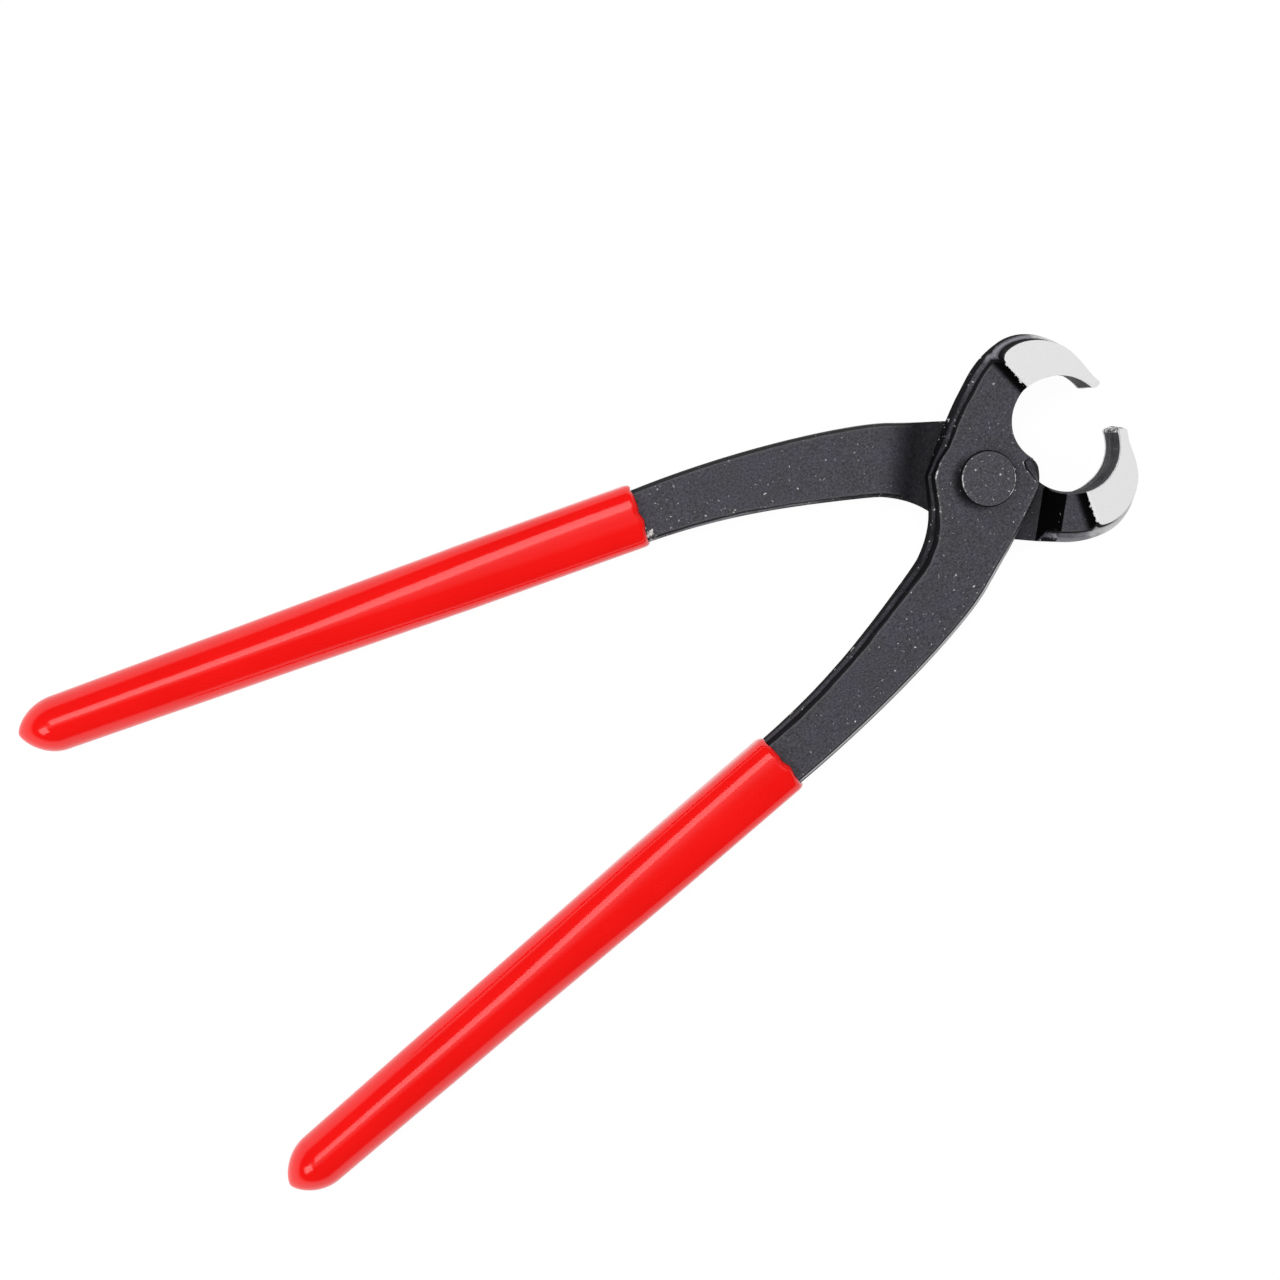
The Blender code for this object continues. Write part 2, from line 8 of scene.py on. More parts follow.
import bmesh
import bpy
import numpy as np
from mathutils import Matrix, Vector


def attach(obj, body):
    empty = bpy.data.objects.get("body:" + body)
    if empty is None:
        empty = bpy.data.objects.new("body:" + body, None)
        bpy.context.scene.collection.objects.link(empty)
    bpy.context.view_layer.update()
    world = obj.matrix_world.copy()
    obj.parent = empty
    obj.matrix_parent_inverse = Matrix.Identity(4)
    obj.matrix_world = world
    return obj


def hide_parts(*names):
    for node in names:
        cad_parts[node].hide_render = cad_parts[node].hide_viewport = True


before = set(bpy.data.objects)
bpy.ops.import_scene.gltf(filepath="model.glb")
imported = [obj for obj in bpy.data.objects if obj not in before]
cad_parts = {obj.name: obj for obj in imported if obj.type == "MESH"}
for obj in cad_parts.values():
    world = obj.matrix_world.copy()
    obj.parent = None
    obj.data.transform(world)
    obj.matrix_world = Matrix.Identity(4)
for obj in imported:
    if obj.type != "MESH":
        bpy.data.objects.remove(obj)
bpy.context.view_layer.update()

# Working values
MM = 0.001
SEED = 7
NUDGE = 0.001
HALVINGS = 40
RAIL_SAMPLES = 81
WELD = 0.004
SLIVER = 0.001

# Forging, drawn with the jaws shut: the tool's axis is X and this lever's own jaw is on +Y
HALF_OPEN = 9.7
MID_HEIGHT = 6.0
HALF_BODY = 4.5
HALF_JAW = 6.0
HALF_LAP = 0.15

# Jaw, boss and handle outlines
MOUTH_RADIUS = 8.55
MOUTH_CENTRE = 17.45
TIP_WALL = 2.12
SHOULDER_WALL = 9.95
BACK_SWELL = 1.2
NOSE_START = 8.0
NOSE_END = 88.0
NOSE_SIDE_ANGLE = 45.0
CHEEK_ANGLE = 70.0
RISER_RUN = 1.1
RISER_FADE = 1.6
BOSS_RADIUS = 10.6
BOSS_TOP_ANGLE = 138.0
BOSS_TOP_RADIUS = 11.5
VERTEX_IN_SLOPE = 211.0
VERTEX_OUT_SLOPE = 234.0
BEVEL_END_ANGLE = -46.0
BOSS_END_ANGLE = -50.0
BOSS_TURN = 3.0
FLANK_ANGLE = 115.0
LAP_CLEARANCE = 1.1
JAW_RAMP_RUN = 3.9
JAW_RAMP_ANGLE = 29.0
HANDLE_LAP_REACH = 14.6
HANDLE_RAMP_RUN = 3.4
NECK_REACH = 19.26
NECK_ANGLE = 211.6
NECK_SLOPE = 205.5
NECK_WIDTH = 14.7
NECK_PULL = 7.0
HEEL_SLOPE = 209.0
HEEL_PULL = 7.3
CROTCH_PULL = 7.6
SHANK_END = -64.6 - 16.8j
SHANK_PULL = 22.0
SHANK_WIDTH = 12.0
INSIDE_SWELL = 0.57
HANDLE_SLOPE = 180.86
TANG_WIDTH = 11.2
TANG_END_WIDTH = 9.4
HALF_TANG = 4.2
TANG_LENGTH = 118.8
TANG_END_ROUND = 4.0
TANG_SINK = 5.0
TIP_ROUND = 0.65
TIP_LEAN_RUN = 6.0

# How far the forging's edges draw in from its outline, by place, above and below the parting line
CRISP_ROUND = 0.2
MOUTH_ROUND = 0.4
MOUTH_UNDER_ROUND = 0.5
NOSE_ROUND = 0.5
CHEEK_ROUND = 1.6
BACK_ROUND = 2.4
SHOULDER_ROUND = 2.3
VERTEX_ROUND = 1.5
CROTCH_ROUND = 2.2
INSIDE_ROUND = 1.8
MOUTH_END_ROUND = 1.5
CORNER_ROUND = 1.5
HEEL_ROUND = 0.9
UNDER_ROUND = 1.0
PALM_UNDER_ROUND = 0.7
TANG_ROUND = 1.6
THROAT_BEVEL = 1.6

# Side of the forging, by share of the height from the parting line to the face: an outer wall, a ledge,
# a steep wall and a rounded edge
LEDGE_FOOT, LEDGE_TOP, EDGE_FOOT = 0.40, 0.50, 0.92
EDGE_INSET = 0.9
PAD_LEDGE_OUT, PAD_LEDGE_IN = 0.2, 0.66
BACK_LEDGE_OUT, BACK_LEDGE_IN = 0.35, 0.75
CROTCH_LEDGE_OUT, CROTCH_LEDGE_IN = 0.25, 0.65
SHANK_LEDGE_OUT, SHANK_LEDGE_IN = 0.25, 0.7
MOUTH_LEDGE_OUT, MOUTH_LEDGE_IN = 0.1, 0.45
BEVEL_FOOT = 0.72
UNDER_RISE = 1.5
TIP_STEP = 0.06
FINE_STEP = 0.18
SHANK_STEP = 0.4
TANG_STEP = 2.0
CREASE_RADIUS = 0.16
HANDLE_RAMP_BLUR = 1.6
PAD_DEPTH = 3.0
EDGE_WOBBLE = 0.1
WOBBLE_LENGTH = 0.7
PAD_WOBBLE = 0.3
BITE_WOBBLE = 0.3

# Finish marks on the sides, by share of the height: where each begins or ends and how far it fades, and
# how strong some of them are
BAND_END, RIM_END = (0.48, 0.03), (0.36, 0.05)
LEDGE_START = 0.37, 0.04
# Where the walls' painted shade ends, and where the throat's bevel and the dark line of painted shade at
# its top begin
WALL_END = 0.93, 0.06
FACET_START, CREASE_START = (0.7, 0.04), (0.955, 0.02)
PAD_START, BITE_PAD_START = (0.985, 0.012), (0.8, 0.2)
STRIP_FADE = 0.08
UNDER_STRIP_TOP = 0.15
CHEEK_STRIP_FOOT = 0.4
WEAR_PLACE, WEAR_SPREAD = 0.975, 0.02
RIM_WEAR = 0.8
MOUTH_LIGHT = 0.45
UNGROUND = -0.5
TIP_GROUND, TIP_GROUND_FROM = 0.5, 0.1
LEDGE_LIGHT, LEDGE_MOST = 0.5, 0.9
# Painted shade on a step's face also runs down its sides above this share of the height
PAINTED_SHADE_FROM = 0.9

# What differs between the two forgings. A round or under is how far an edge draws in above or below the
# parting line, a trim is what is taken off, and the seed gives the wander of the trimmed edges. The last
# five set the finish: the palm strip's brightness, and where along the cheek the outer band turns grey
# and white and its dark rim ends.
Forging = namedtuple("Forging", "side mouth_centre tip_gap tip_lean corner_ease trim pad_edge pad_corner"
                     " palm_round palm_trim sleeve_trim strip_top mouth_round mouth_under tip_round"
                     " tip_under seed palm_shine grey_from white_from white_fade rim_to")
FRONT = Forging(
    side="front", mouth_centre=17.45, tip_gap=0.25, tip_lean=0.5, corner_ease=7.0, trim=0.0,
    pad_edge=94.0, pad_corner=1.6, palm_round=1.5, palm_trim=0.0, sleeve_trim=0.0, strip_top=0.5,
    mouth_round=-0.15, mouth_under=0.7, tip_round=0.2, tip_under=-0.25, seed=SEED,
    palm_shine=1.0, grey_from=0.45, white_from=0.88, white_fade=0.04, rim_to=0.88)
REAR = Forging(
    side="rear", mouth_centre=17.1, tip_gap=-0.5, tip_lean=0.4, corner_ease=34.0, trim=0.4,
    pad_edge=92.2, pad_corner=0.9, palm_round=0.8, palm_trim=0.4, sleeve_trim=0.7, strip_top=0.2,
    mouth_round=-0.1, mouth_under=0.72, tip_round=-0.1, tip_under=0.72, seed=SEED + 1,
    palm_shine=0.7, grey_from=0.15, white_from=0.5, white_fade=0.14, rim_to=0.3)

# Sleeves
SLEEVE_LENGTH = 125.6
SLEEVE_WIDTH = 12.5
SLEEVE_END_WIDTH = 10.58
SLEEVE_THICKNESS = 11.96
SLEEVE_TAPER_START = 35.0
DRIP_LENGTH = 8.0
DRIP_BLUNTNESS = 0.7
FRONT_DRIP_LEAN, REAR_DRIP_LEAN = 0.0, -0.4
SIDE_WALL, FACE_WALL, END_WALL = 0.55, 1.5, 6.5
LIP_LENGTH = 1.3
MOUTH_RIPPLE = 1.2
MOUTH_SQUARENESS, END_SQUARENESS, BORE_SQUARENESS = 3.1, 2.0, 3.4
SQUARE_RUN = 0.6
WAVINESS = 0.012
WAVE_SCALE, WAVE_SPREAD, RIPPLE_SCALE = 60.0, 0.004, 1.3
SLEEVE_WELD = 0.002
SLEEVE_AROUND, SLEEVE_ROWS = 129, 321
ROW_STOPS = 0.0, 0.01, 0.08, 0.13, 0.8, 1.0

# Crumbs on the rear shank
RESIDUE_PLACE = (-61.2, 23.4)
RESIDUE_REACH = 1.5

# Rivet, with the radius and fall of points on its head and tail
RIVET_HEAD_RADIUS = 5.2
RIVET_TAIL_RADIUS = 4.9
RIVET_SHANK_RADIUS = 3.6
RIVET_HOLE_RADIUS = 3.75
RIVET_END = 6.0
RIVET_SEAT = 4.7
DRILL_REACH = 8.0
HEAD_ROUND, TAIL_ROUND = 0.35, 0.9
HEAD_FALL, TAIL_FALL = 0.02, 0.03
CROWN_FALLS = (0.01, 0.0), (2.0, 0.004), (3.8, 0.015)
FOOT_FALLS = (3.0, 0.02), (0.01, 0.0)

# Finishes: pattern scales to the metre, and colours
GRAIN_SCALE, RAGGED_SCALE, CLOUD_SCALE, PATCH_SCALE = 2600.0, 1300.0, 260.0, 120.0
PEEL_SCALE, TINT_SCALE = 350.0, 60.0
SHAKE_SCALE, SHAKE_REACH = 1800.0, 0.0006
FINE_SPECKS, DUST_SPECKS, RIVET_SPECKS, PIT_SPECKS = 1500.0, 560.0, 620.0, 900.0
CRUMB_SCALE = 900.0
BUMP_DEPTH = 0.00004
BLACKED_TONES = (0.054, 0.053, 0.062, 1), (0.058, 0.055, 0.071, 1)
SCALE_AND_SHADE_TONES = (0.002, 0.002, 0.003, 1), (0.014, 0.013, 0.016, 1)
GROUND_TONES = (0.86, 0.86, 0.86, 1), (0.5, 0.5, 0.5, 1)
VINYL_TONES = (0.91, 0.004, 0.003, 1), (0.95, 0.005, 0.004, 1)
WORN_COLOUR, DUST_COLOUR = (0.13, 0.13, 0.13, 1), (0.62, 0.61, 0.6, 1)
GREY_BAND, WHITE_BAND = (0.30, 0.295, 0.33, 1), (0.74, 0.74, 0.74, 1)
STRIP_COLOUR = (0.44, 0.43, 0.46, 1)
RIVET_TONE = (0.064, 0.062, 0.074)
RIVET_WORN, RIVET_DUST = (0.12, 0.12, 0.12, 1), (0.6, 0.6, 0.6, 1)

# Camera
CAMERA_PLACE = -0.07542, 0.05085, 0.5833
CAMERA_TURN = -3.66, -2.43, -30.21
CAMERA_LENS, CAMERA_SENSOR = 84.83, 36.0


class Wire:
    """A socket in a node tree. Arithmetic on wires adds Math nodes, and node adds any other kind."""

    def __init__(self, tree, socket=None):
        self.tree = tree
        self.socket = socket

    def node(self, kind, settings=None, sockets=None, output=0):
        made = self.tree.nodes.new(kind)
        for name, value in (settings or {}).items():
            setattr(made, name, value)
        for key, value in (sockets or {}).items():
            if isinstance(value, Wire):
                self.tree.links.new(value.socket, made.inputs[key])
            else:
                made.inputs[key].default_value = value
        return Wire(self.tree, made.outputs[output])

    def math(self, operation, *values):
        return self.node("ShaderNodeMath", {"operation": operation}, dict(enumerate(values)))

    def __add__(self, other):
        return self.math("ADD", self, other)

    def __sub__(self, other):
        return self.math("SUBTRACT", self, other)

    def __rsub__(self, other):
        return self.math("SUBTRACT", other, self)

    def __mul__(self, other):
        return self.math("MULTIPLY", self, other)

    def __truediv__(self, other):
        return self.math("DIVIDE", self, other)

    def __rtruediv__(self, other):
        return self.math("DIVIDE", other, self)

    def __pow__(self, other):
        return self.math("POWER", self, other)

    __radd__ = __add__
    __rmul__ = __mul__

    def step(self, low, high):
        """0 up to low, 1 from high, and a smooth rise between them."""
        return self.node("ShaderNodeMapRange", {"interpolation_type": "SMOOTHSTEP"},
                         {"Value": self, "From Min": low, "From Max": high})

    def mix(self, first, second):
        """A colour between two, by this wire's value."""
        return self.node("ShaderNodeMix", {"data_type": "RGBA"},
                         {0: self, 6: first, 7: second}, output=2)

    def part(self, axis):
        return self.node("ShaderNodeSeparateXYZ", sockets={0: self}, output=axis)


def mix(start, end, t):
    return start + (end - start) * t


def smooth(value):
    value = np.clip(value, 0.0, 1.0)
    return value * value * (3 - 2 * value)


def past(level, start, run):
    """0 up to start, 1 from a run further on, and a smooth rise between them."""
    return smooth((level - start) / run)


def heading(degrees):
    return np.exp(1j * np.radians(degrees))


def curve(start, start_pull, end, end_pull):
    """A cubic curve that leaves start along start_pull and arrives at end along end_pull."""
    def at(t):
        return ((1 - t) ** 3 * start + 3 * t * (1 - t) ** 2 * (start + start_pull)
                + 3 * t * t * (1 - t) * (end - end_pull) + t ** 3 * end)
    return at


def leaving(rail):
    """The way a rail sets off from its start."""
    step = rail(NUDGE) - rail(0.0)
    return step / abs(step)


def part_of(rail, start, end):
    return lambda t: rail(mix(start, end, t))


def last_where(test, low, high):
    """The highest value between low and high that passes a test which low passes."""
    for _ in range(HALVINGS):
        middle = (low + high) / 2
        low, high = (middle, high) if test(middle) else (low, middle)
    return low


def mouth(forging, start, end):
    return lambda t: forging.mouth_centre + MOUTH_RADIUS * heading(mix(start, end, t))


def boss(start, end):
    return lambda t: BOSS_RADIUS * heading(mix(start, end, t))


def nose_radius(forging, degrees):
    """The jaw's outside, measured from the middle of the mouth."""
    grown = smooth((degrees - NOSE_START) / (NOSE_END - NOSE_START))
    wall = mix(TIP_WALL, SHOULDER_WALL - forging.trim, grown)
    swollen = MOUTH_RADIUS + wall + BACK_SWELL * np.maximum(degrees - NOSE_END, 0.0) / (180.0 - NOSE_END)
    return swollen / np.cos(np.radians(np.maximum(degrees - FLANK_ANGLE, 0.0)))


def nose(forging, start, end):
    def at(t):
        degrees = mix(start, end, t)
        return MOUTH_CENTRE + nose_radius(forging, degrees) * heading(degrees)
    return at


def ramp_line(forging, distance):
    """Angles about the mouth where a ramp's edge crosses the mouth's wall and the jaw's back."""
    def along_ramp(point):
        return (point * np.conj(heading(JAW_RAMP_ANGLE))).real
    offset = (distance - along_ramp(forging.mouth_centre)) / MOUTH_RADIUS
    at_back = last_where(lambda a: along_ramp(nose(forging, a, a)(0.0)) > distance, 90.0, 160.0)
    return JAW_RAMP_ANGLE + math.degrees(math.acos(offset)), at_back


def throat_corner(forging):
    """Where the mouth leaves its circle, where the boss takes over, and the eased corner between."""
    gap, ease = forging.mouth_centre, forging.corner_ease
    at_pivot = (gap ** 2 + BOSS_RADIUS ** 2 - MOUTH_RADIUS ** 2) / (2 * gap * BOSS_RADIUS)
    at_mouth = (gap ** 2 + MOUTH_RADIUS ** 2 - BOSS_RADIUS ** 2) / (2 * gap * MOUTH_RADIUS)
    leave = 180.0 + math.degrees(math.acos(at_mouth)) - ease
    arrive = -math.degrees(math.acos(at_pivot)) - ease
    start, end = mouth(forging, leave, leave)(0.0), boss(arrive, arrive)(0.0)
    pull = abs(end - start) / 3
    return leave, arrive, curve(start, pull * heading(leave + 90), end, pull * heading(arrive - 90))


def handle_middle(t):
    neck = NECK_REACH * heading(NECK_ANGLE)
    return curve(neck, NECK_PULL * heading(NECK_SLOPE),
                 SHANK_END, SHANK_PULL * heading(HANDLE_SLOPE))(t)


def handle_edge(forging, side):
    """One edge of the shank, square to its middle line. Its inside swell peaks at INSIDE_SWELL."""
    peak_gain = 28.9

    def at(t):
        along = handle_middle(t + NUDGE) - handle_middle(t - NUDGE)
        width = (1 - t) ** 2 * NECK_WIDTH + 2 * t * (1 - t) * SHANK_WIDTH + t * t * TANG_WIDTH
        inside = (INSIDE_SWELL * peak_gain * t + NECK_WIDTH - SHANK_WIDTH) * t * (1 - t) ** 3
        trim = forging.palm_trim * (1 - t * t) + forging.sleeve_trim * t ** 4
        swell = inside if side < 0 else -trim
        return handle_middle(t) + 1j * along / abs(along) * side * (width / 2 + swell)
    return at


def tang_edge(side, first, last):
    """One edge of the tang, drawn in round its end."""
    def at(t):
        distance = mix(first, last, t)
        taper = np.maximum(distance - SLEEVE_TAPER_START, 0.0) / (SLEEVE_LENGTH - SLEEVE_TAPER_START)
        short = np.maximum(1 - (TANG_LENGTH - distance) / TANG_END_ROUND, 0.0)
        share = np.maximum(np.sqrt(1 - short ** 2), 0.2)
        width = mix(TANG_WIDTH, TANG_END_WIDTH, taper) * share
        return SHANK_END + heading(HANDLE_SLOPE) * (distance + 1j * side * width / 2)
    return at


# A section across the lever: how far its edges draw in above and below the parting line, its faces'
# heights from the lap plane, the ledge's shares of the back's draw-in, the throat's bevel, and how far
# it belongs to each kind of finish, with the painted shade on its top and bottom faces.
Section = namedtuple("Section", "bite_round back_round bite_under back_under top bottom ledge_out ledge_in"
                     " bevel pad mouth palm chip cheek dark_top dark_bottom", defaults=(0,) * 8)

# A stretch between two sections, with the spacing of its stations
Span = namedtuple("Span", "bite back spacing first last")


def jaw_spans(forging):
    """The jaw, from its tip over the ground pad to the foot of the lap's ramp."""
    tip = Section(forging.tip_round, CRISP_ROUND, forging.tip_under, CRISP_ROUND, HALF_JAW, -HALF_JAW,
                  PAD_LEDGE_OUT, PAD_LEDGE_IN, pad=PAD_DEPTH, mouth=1, cheek=1)
    nose_side = tip._replace(bite_round=forging.mouth_round, back_round=NOSE_ROUND,
                             bite_under=forging.mouth_under, back_under=NOSE_ROUND)
    cheek = nose_side._replace(back_round=CHEEK_ROUND, back_under=CHEEK_ROUND, cheek=0.86)
    pad_edge = cheek._replace(bite_round=CRISP_ROUND, back_round=BACK_ROUND, bite_under=MOUTH_UNDER_ROUND,
                              back_under=BACK_ROUND, cheek=0.52)
    # The riser, the step's foot and the jaw's ramp are painted dark on their faces as painted shade
    riser = pad_edge._replace(pad=0.75, dark_top=1, dark_bottom=1)
    step_foot = riser._replace(top=HALF_BODY, bottom=-HALF_BODY, pad=-0.6)
    body = step_foot._replace(dark_top=0, dark_bottom=0.25, ledge_out=BACK_LEDGE_OUT,
                              ledge_in=BACK_LEDGE_IN, pad=0, cheek=0.4)
    ramp_top = body._replace(dark_bottom=1, cheek=0.25)
    ramp_foot = ramp_top._replace(bite_round=MOUTH_ROUND, back_round=SHOULDER_ROUND, bottom=HALF_LAP,
                                  cheek=0)

    def further(bite, back, distance):
        """Angles on the mouth's wall and on the jaw's back that lie a distance further on."""
        return (bite + math.degrees(distance / MOUTH_RADIUS),
                back + math.degrees(distance / nose_radius(forging, back)))

    edge = forging.pad_edge
    start = further(0.0, 0.0, forging.tip_gap)
    stops = [
        (*start, tip, tip), (*further(*start, TIP_ROUND), tip, nose_side),
        (NOSE_SIDE_ANGLE, NOSE_SIDE_ANGLE, nose_side, cheek), (CHEEK_ANGLE, CHEEK_ANGLE, cheek, pad_edge),
        (edge, edge, riser, step_foot), (*further(edge, edge, RISER_RUN), step_foot, body),
        (*further(edge, edge, RISER_RUN + RISER_FADE), body, body),
        (*ramp_line(forging, BOSS_RADIUS + LAP_CLEARANCE + JAW_RAMP_RUN), ramp_top, ramp_foot),
        (*ramp_line(forging, BOSS_RADIUS + LAP_CLEARANCE), ramp_foot, ramp_foot)]
    return [Span(mouth(forging, here[0], there[0]), nose(forging, here[1], there[1]),
                 TIP_STEP if here is stops[0] else FINE_STEP, here[2], here[3])
            for here, there in zip(stops, stops[1:])]


def joint_spans(forging):
    """The half-thickness lap round the rivet, and the ramp that leads into the handle."""
    # Painted shade on the lap's floor and the handle's ramp under the other lever, fading out along the
    # neck
    floor = Section(MOUTH_ROUND, SHOULDER_ROUND, 0, 0, HALF_BODY, HALF_LAP, BACK_LEDGE_OUT, BACK_LEDGE_IN,
                    mouth=1, dark_bottom=0.45)
    throat = floor._replace(bevel=0.35)
    throat_end = floor._replace(bevel=0.8, chip=0.3)
    corner_middle = floor._replace(bite_round=CORNER_ROUND, back_round=VERTEX_ROUND, bevel=THROAT_BEVEL,
                                   mouth=0, chip=1)
    boss_start = corner_middle._replace(ledge_out=CROTCH_LEDGE_OUT, ledge_in=CROTCH_LEDGE_IN,
                                        dark_bottom=0.6)
    bevel_end = boss_start._replace(bite_round=HEEL_ROUND, bevel=0)
    boss_end = bevel_end._replace(chip=0.8)
    lap_end = boss_end._replace(bite_round=forging.palm_round, back_round=CROTCH_ROUND, palm=1,
                                bite_under=PALM_UNDER_ROUND, back_under=UNDER_ROUND, chip=0.4)
    handle = lap_end._replace(bottom=-HALF_BODY, dark_bottom=0.35)
    neck = handle._replace(dark_bottom=0.18)
    palm, inside = handle_edge(forging, 1), handle_edge(forging, -1)
    leave, arrive, corner = throat_corner(forging)
    bevel_stop = min(BEVEL_END_ANGLE, arrive - BOSS_TURN)
    boss_stop = min(BOSS_END_ANGLE, bevel_stop - BOSS_TURN)
    foot_bite, foot_back = ramp_line(forging, BOSS_RADIUS + LAP_CLEARANCE)

    # The jaw's back runs down to the boss, and the boss's far side into the crotch
    back_foot = nose(forging, foot_back, foot_back)(0.0)
    boss_top = BOSS_TOP_RADIUS * heading(BOSS_TOP_ANGLE)
    pull = abs(back_foot - boss_top) / 3
    shoulder = curve(back_foot, pull * heading(FLANK_ANGLE + 90),
                     boss_top, pull * heading(VERTEX_IN_SLOPE))
    pull = abs(boss_top - inside(0.0)) / 3
    crotch = curve(boss_top, pull * heading(VERTEX_OUT_SLOPE),
                   inside(0.0), CROTCH_PULL * leaving(inside))
    heel_start = BOSS_RADIUS * heading(boss_stop)
    pull = abs(heel_start - palm(0.0)) / 3
    heel = curve(heel_start, pull * heading(HEEL_SLOPE),
                 palm(0.0), HEEL_PULL * leaving(palm))

    # Shares of the shoulder and the crotch that lie opposite the throat, its corner and the boss
    throat_share, corner_share, corner_half = 0.45, 0.6, 0.8
    bevel_share, boss_share = 0.03, 0.08
    crotch_rest = part_of(crotch, boss_share, 1.0)

    def clear_of_pivot(t):
        a, b = heel(t), crotch_rest(t)
        return abs((np.conj(a) * b).imag) / abs(b - a)

    foot = last_where(lambda t: clear_of_pivot(t) < HANDLE_LAP_REACH, 0.0, 1.0)
    top = last_where(lambda t: clear_of_pivot(t) < HANDLE_LAP_REACH + HANDLE_RAMP_RUN, 0.0, 1.0)
    return [Span(bite, back, FINE_STEP, first, last) for bite, back, first, last in (
        (mouth(forging, foot_bite, 180.0), part_of(shoulder, 0.0, throat_share), floor, throat),
        (mouth(forging, 180.0, leave), part_of(shoulder, throat_share, corner_share), throat, throat_end),
        (part_of(corner, 0.0, 0.5), part_of(shoulder, corner_share, corner_half), throat_end,
         corner_middle),
        (part_of(corner, 0.5, 1.0), part_of(shoulder, corner_half, 1.0), corner_middle, boss_start),
        (boss(arrive, bevel_stop), part_of(crotch, 0.0, bevel_share), boss_start, bevel_end),
        (boss(bevel_stop, boss_stop), part_of(crotch, bevel_share, boss_share), bevel_end, boss_end),
        (part_of(heel, 0.0, foot), part_of(crotch_rest, 0.0, foot), boss_end, lap_end),
        (part_of(heel, foot, top), part_of(crotch_rest, foot, top), lap_end, handle),
        (part_of(heel, top, 1.0), part_of(crotch_rest, top, 1.0), handle, neck))]


def handle_spans(forging):
    """The bare shank, and the tang that goes into the sleeve."""
    # The painted shade under the neck fades out at the start of the shank
    neck = Section(forging.palm_round, CROTCH_ROUND, PALM_UNDER_ROUND, UNDER_ROUND, HALF_BODY, -HALF_BODY,
                   CROTCH_LEDGE_OUT, CROTCH_LEDGE_IN, palm=1, chip=0.5, dark_bottom=0.18)
    clear = neck._replace(dark_bottom=0, chip=0.6)
    middle = clear._replace(back_round=INSIDE_ROUND, ledge_out=SHANK_LEDGE_OUT, ledge_in=SHANK_LEDGE_IN,
                            cheek=0.12, chip=0.2)
    shank_end = middle._replace(back_round=MOUTH_END_ROUND, top=HALF_TANG, bottom=-HALF_TANG,
                                ledge_out=MOUTH_LEDGE_OUT, ledge_in=MOUTH_LEDGE_IN, cheek=0.42, chip=0)
    tang = Section(TANG_ROUND, TANG_ROUND, TANG_ROUND, TANG_ROUND, HALF_TANG, -HALF_TANG,
                   SHANK_LEDGE_OUT, SHANK_LEDGE_IN)
    tang_end = tang._replace(top=HALF_TANG / 2, bottom=-HALF_TANG / 2)
    round_start = TANG_LENGTH - TANG_END_ROUND
    bare = [(0.0, 0.12, neck, clear), (0.12, 0.4, clear, middle), (0.4, 1.0, middle, shank_end)]
    sunk = [(0.0, TANG_SINK, shank_end, tang), (TANG_SINK, round_start, tang, tang),
            (round_start, TANG_LENGTH, tang, tang_end)]
    palm, inside = handle_edge(forging, 1), handle_edge(forging, -1)
    return [Span(part_of(palm, first, last), part_of(inside, first, last), SHANK_STEP, *sections)
            for first, last, *sections in bare] + [
            Span(tang_edge(1, first, last), tang_edge(-1, first, last), TANG_STEP, *sections)
            for first, last, *sections in sunk]


def stations(spans):
    """Rails and section values at every station, and each station's distance along the lever."""
    bite, back, values, along = [], [], [], []
    start = 0.0
    for span in spans:
        t = np.linspace(0.0, 1.0, RAIL_SAMPLES)
        travel = (abs(np.diff(span.bite(t))) + abs(np.diff(span.back(t)))) / 2
        travel = np.concatenate([[0.0], np.cumsum(travel)])
        count = max(round(travel[-1] / span.spacing), 3)
        even = np.linspace(0.0, travel[-1], count + 1)[1 if bite else 0:]
        t = np.interp(even, travel, t)
        bite.append(span.bite(t))
        back.append(span.back(t))
        values.append(np.array(span.first) + np.outer(t, np.array(span.last) - np.array(span.first)))
        along.append(start + even)
        start += travel[-1]
    values = Section(*np.concatenate(values).T)
    return np.concatenate(bite), np.concatenate(back), values, np.concatenate(along)


def blurred(values, along, radius):
    """Values along the lever with their corners rounded off."""
    weights = np.exp(-0.5 * ((along[:, None] - along[None, :]) / radius) ** 2) * np.gradient(along)
    return weights @ values / weights.sum(axis=1)


# Shares of the height from the parting line to a face, close together where the side bends
SIDE_LEVELS = np.array([0.0, 0.1, 0.2, 0.3, 0.37, 0.395, 0.405, 0.43, 0.47, 0.495, 0.505, 0.53, 0.6,
                        0.68, 0.76, 0.84, 0.9, 0.92, 0.935, 0.95, 0.963, 0.975, 0.985, 0.993, 1.0])
FACE_SHARES = np.array([0.012, 0.03, 0.25, 0.5, 0.75, 0.97, 0.988])
FACE_RIMS = np.array([1, 0, 0, 0, 0, 0, 1])


def draw_in(level, ledge_out, ledge_in):
    """How much of its draw-in a side has used up at this share of the height."""
    outer = np.clip(level / LEDGE_FOOT, 0.0, 1.0)
    ledge = np.clip((level - LEDGE_FOOT) / (LEDGE_TOP - LEDGE_FOOT), 0.0, 1.0)
    steep = np.clip((level - LEDGE_TOP) / (EDGE_FOOT - LEDGE_TOP), 0.0, 1.0)
    edge = np.clip((level - EDGE_FOOT) / (1 - EDGE_FOOT), 0.0, 1.0)
    return (ledge_out * outer + (ledge_in - ledge_out) * ledge + (EDGE_INSET - ledge_in) * steep
            + (1 - EDGE_INSET) * (1 - np.sqrt(1 - edge ** 2)))


def height_at(level, reach):
    """Height of a level on a side that reaches this far: the ledge stays level beside the raised pad."""
    ledge = LEDGE_TOP * np.minimum(reach, HALF_BODY)
    over = (level - LEDGE_TOP) / (1 - LEDGE_TOP)
    return np.where(level < LEDGE_TOP, ledge * level / LEDGE_TOP, mix(ledge, reach, over))


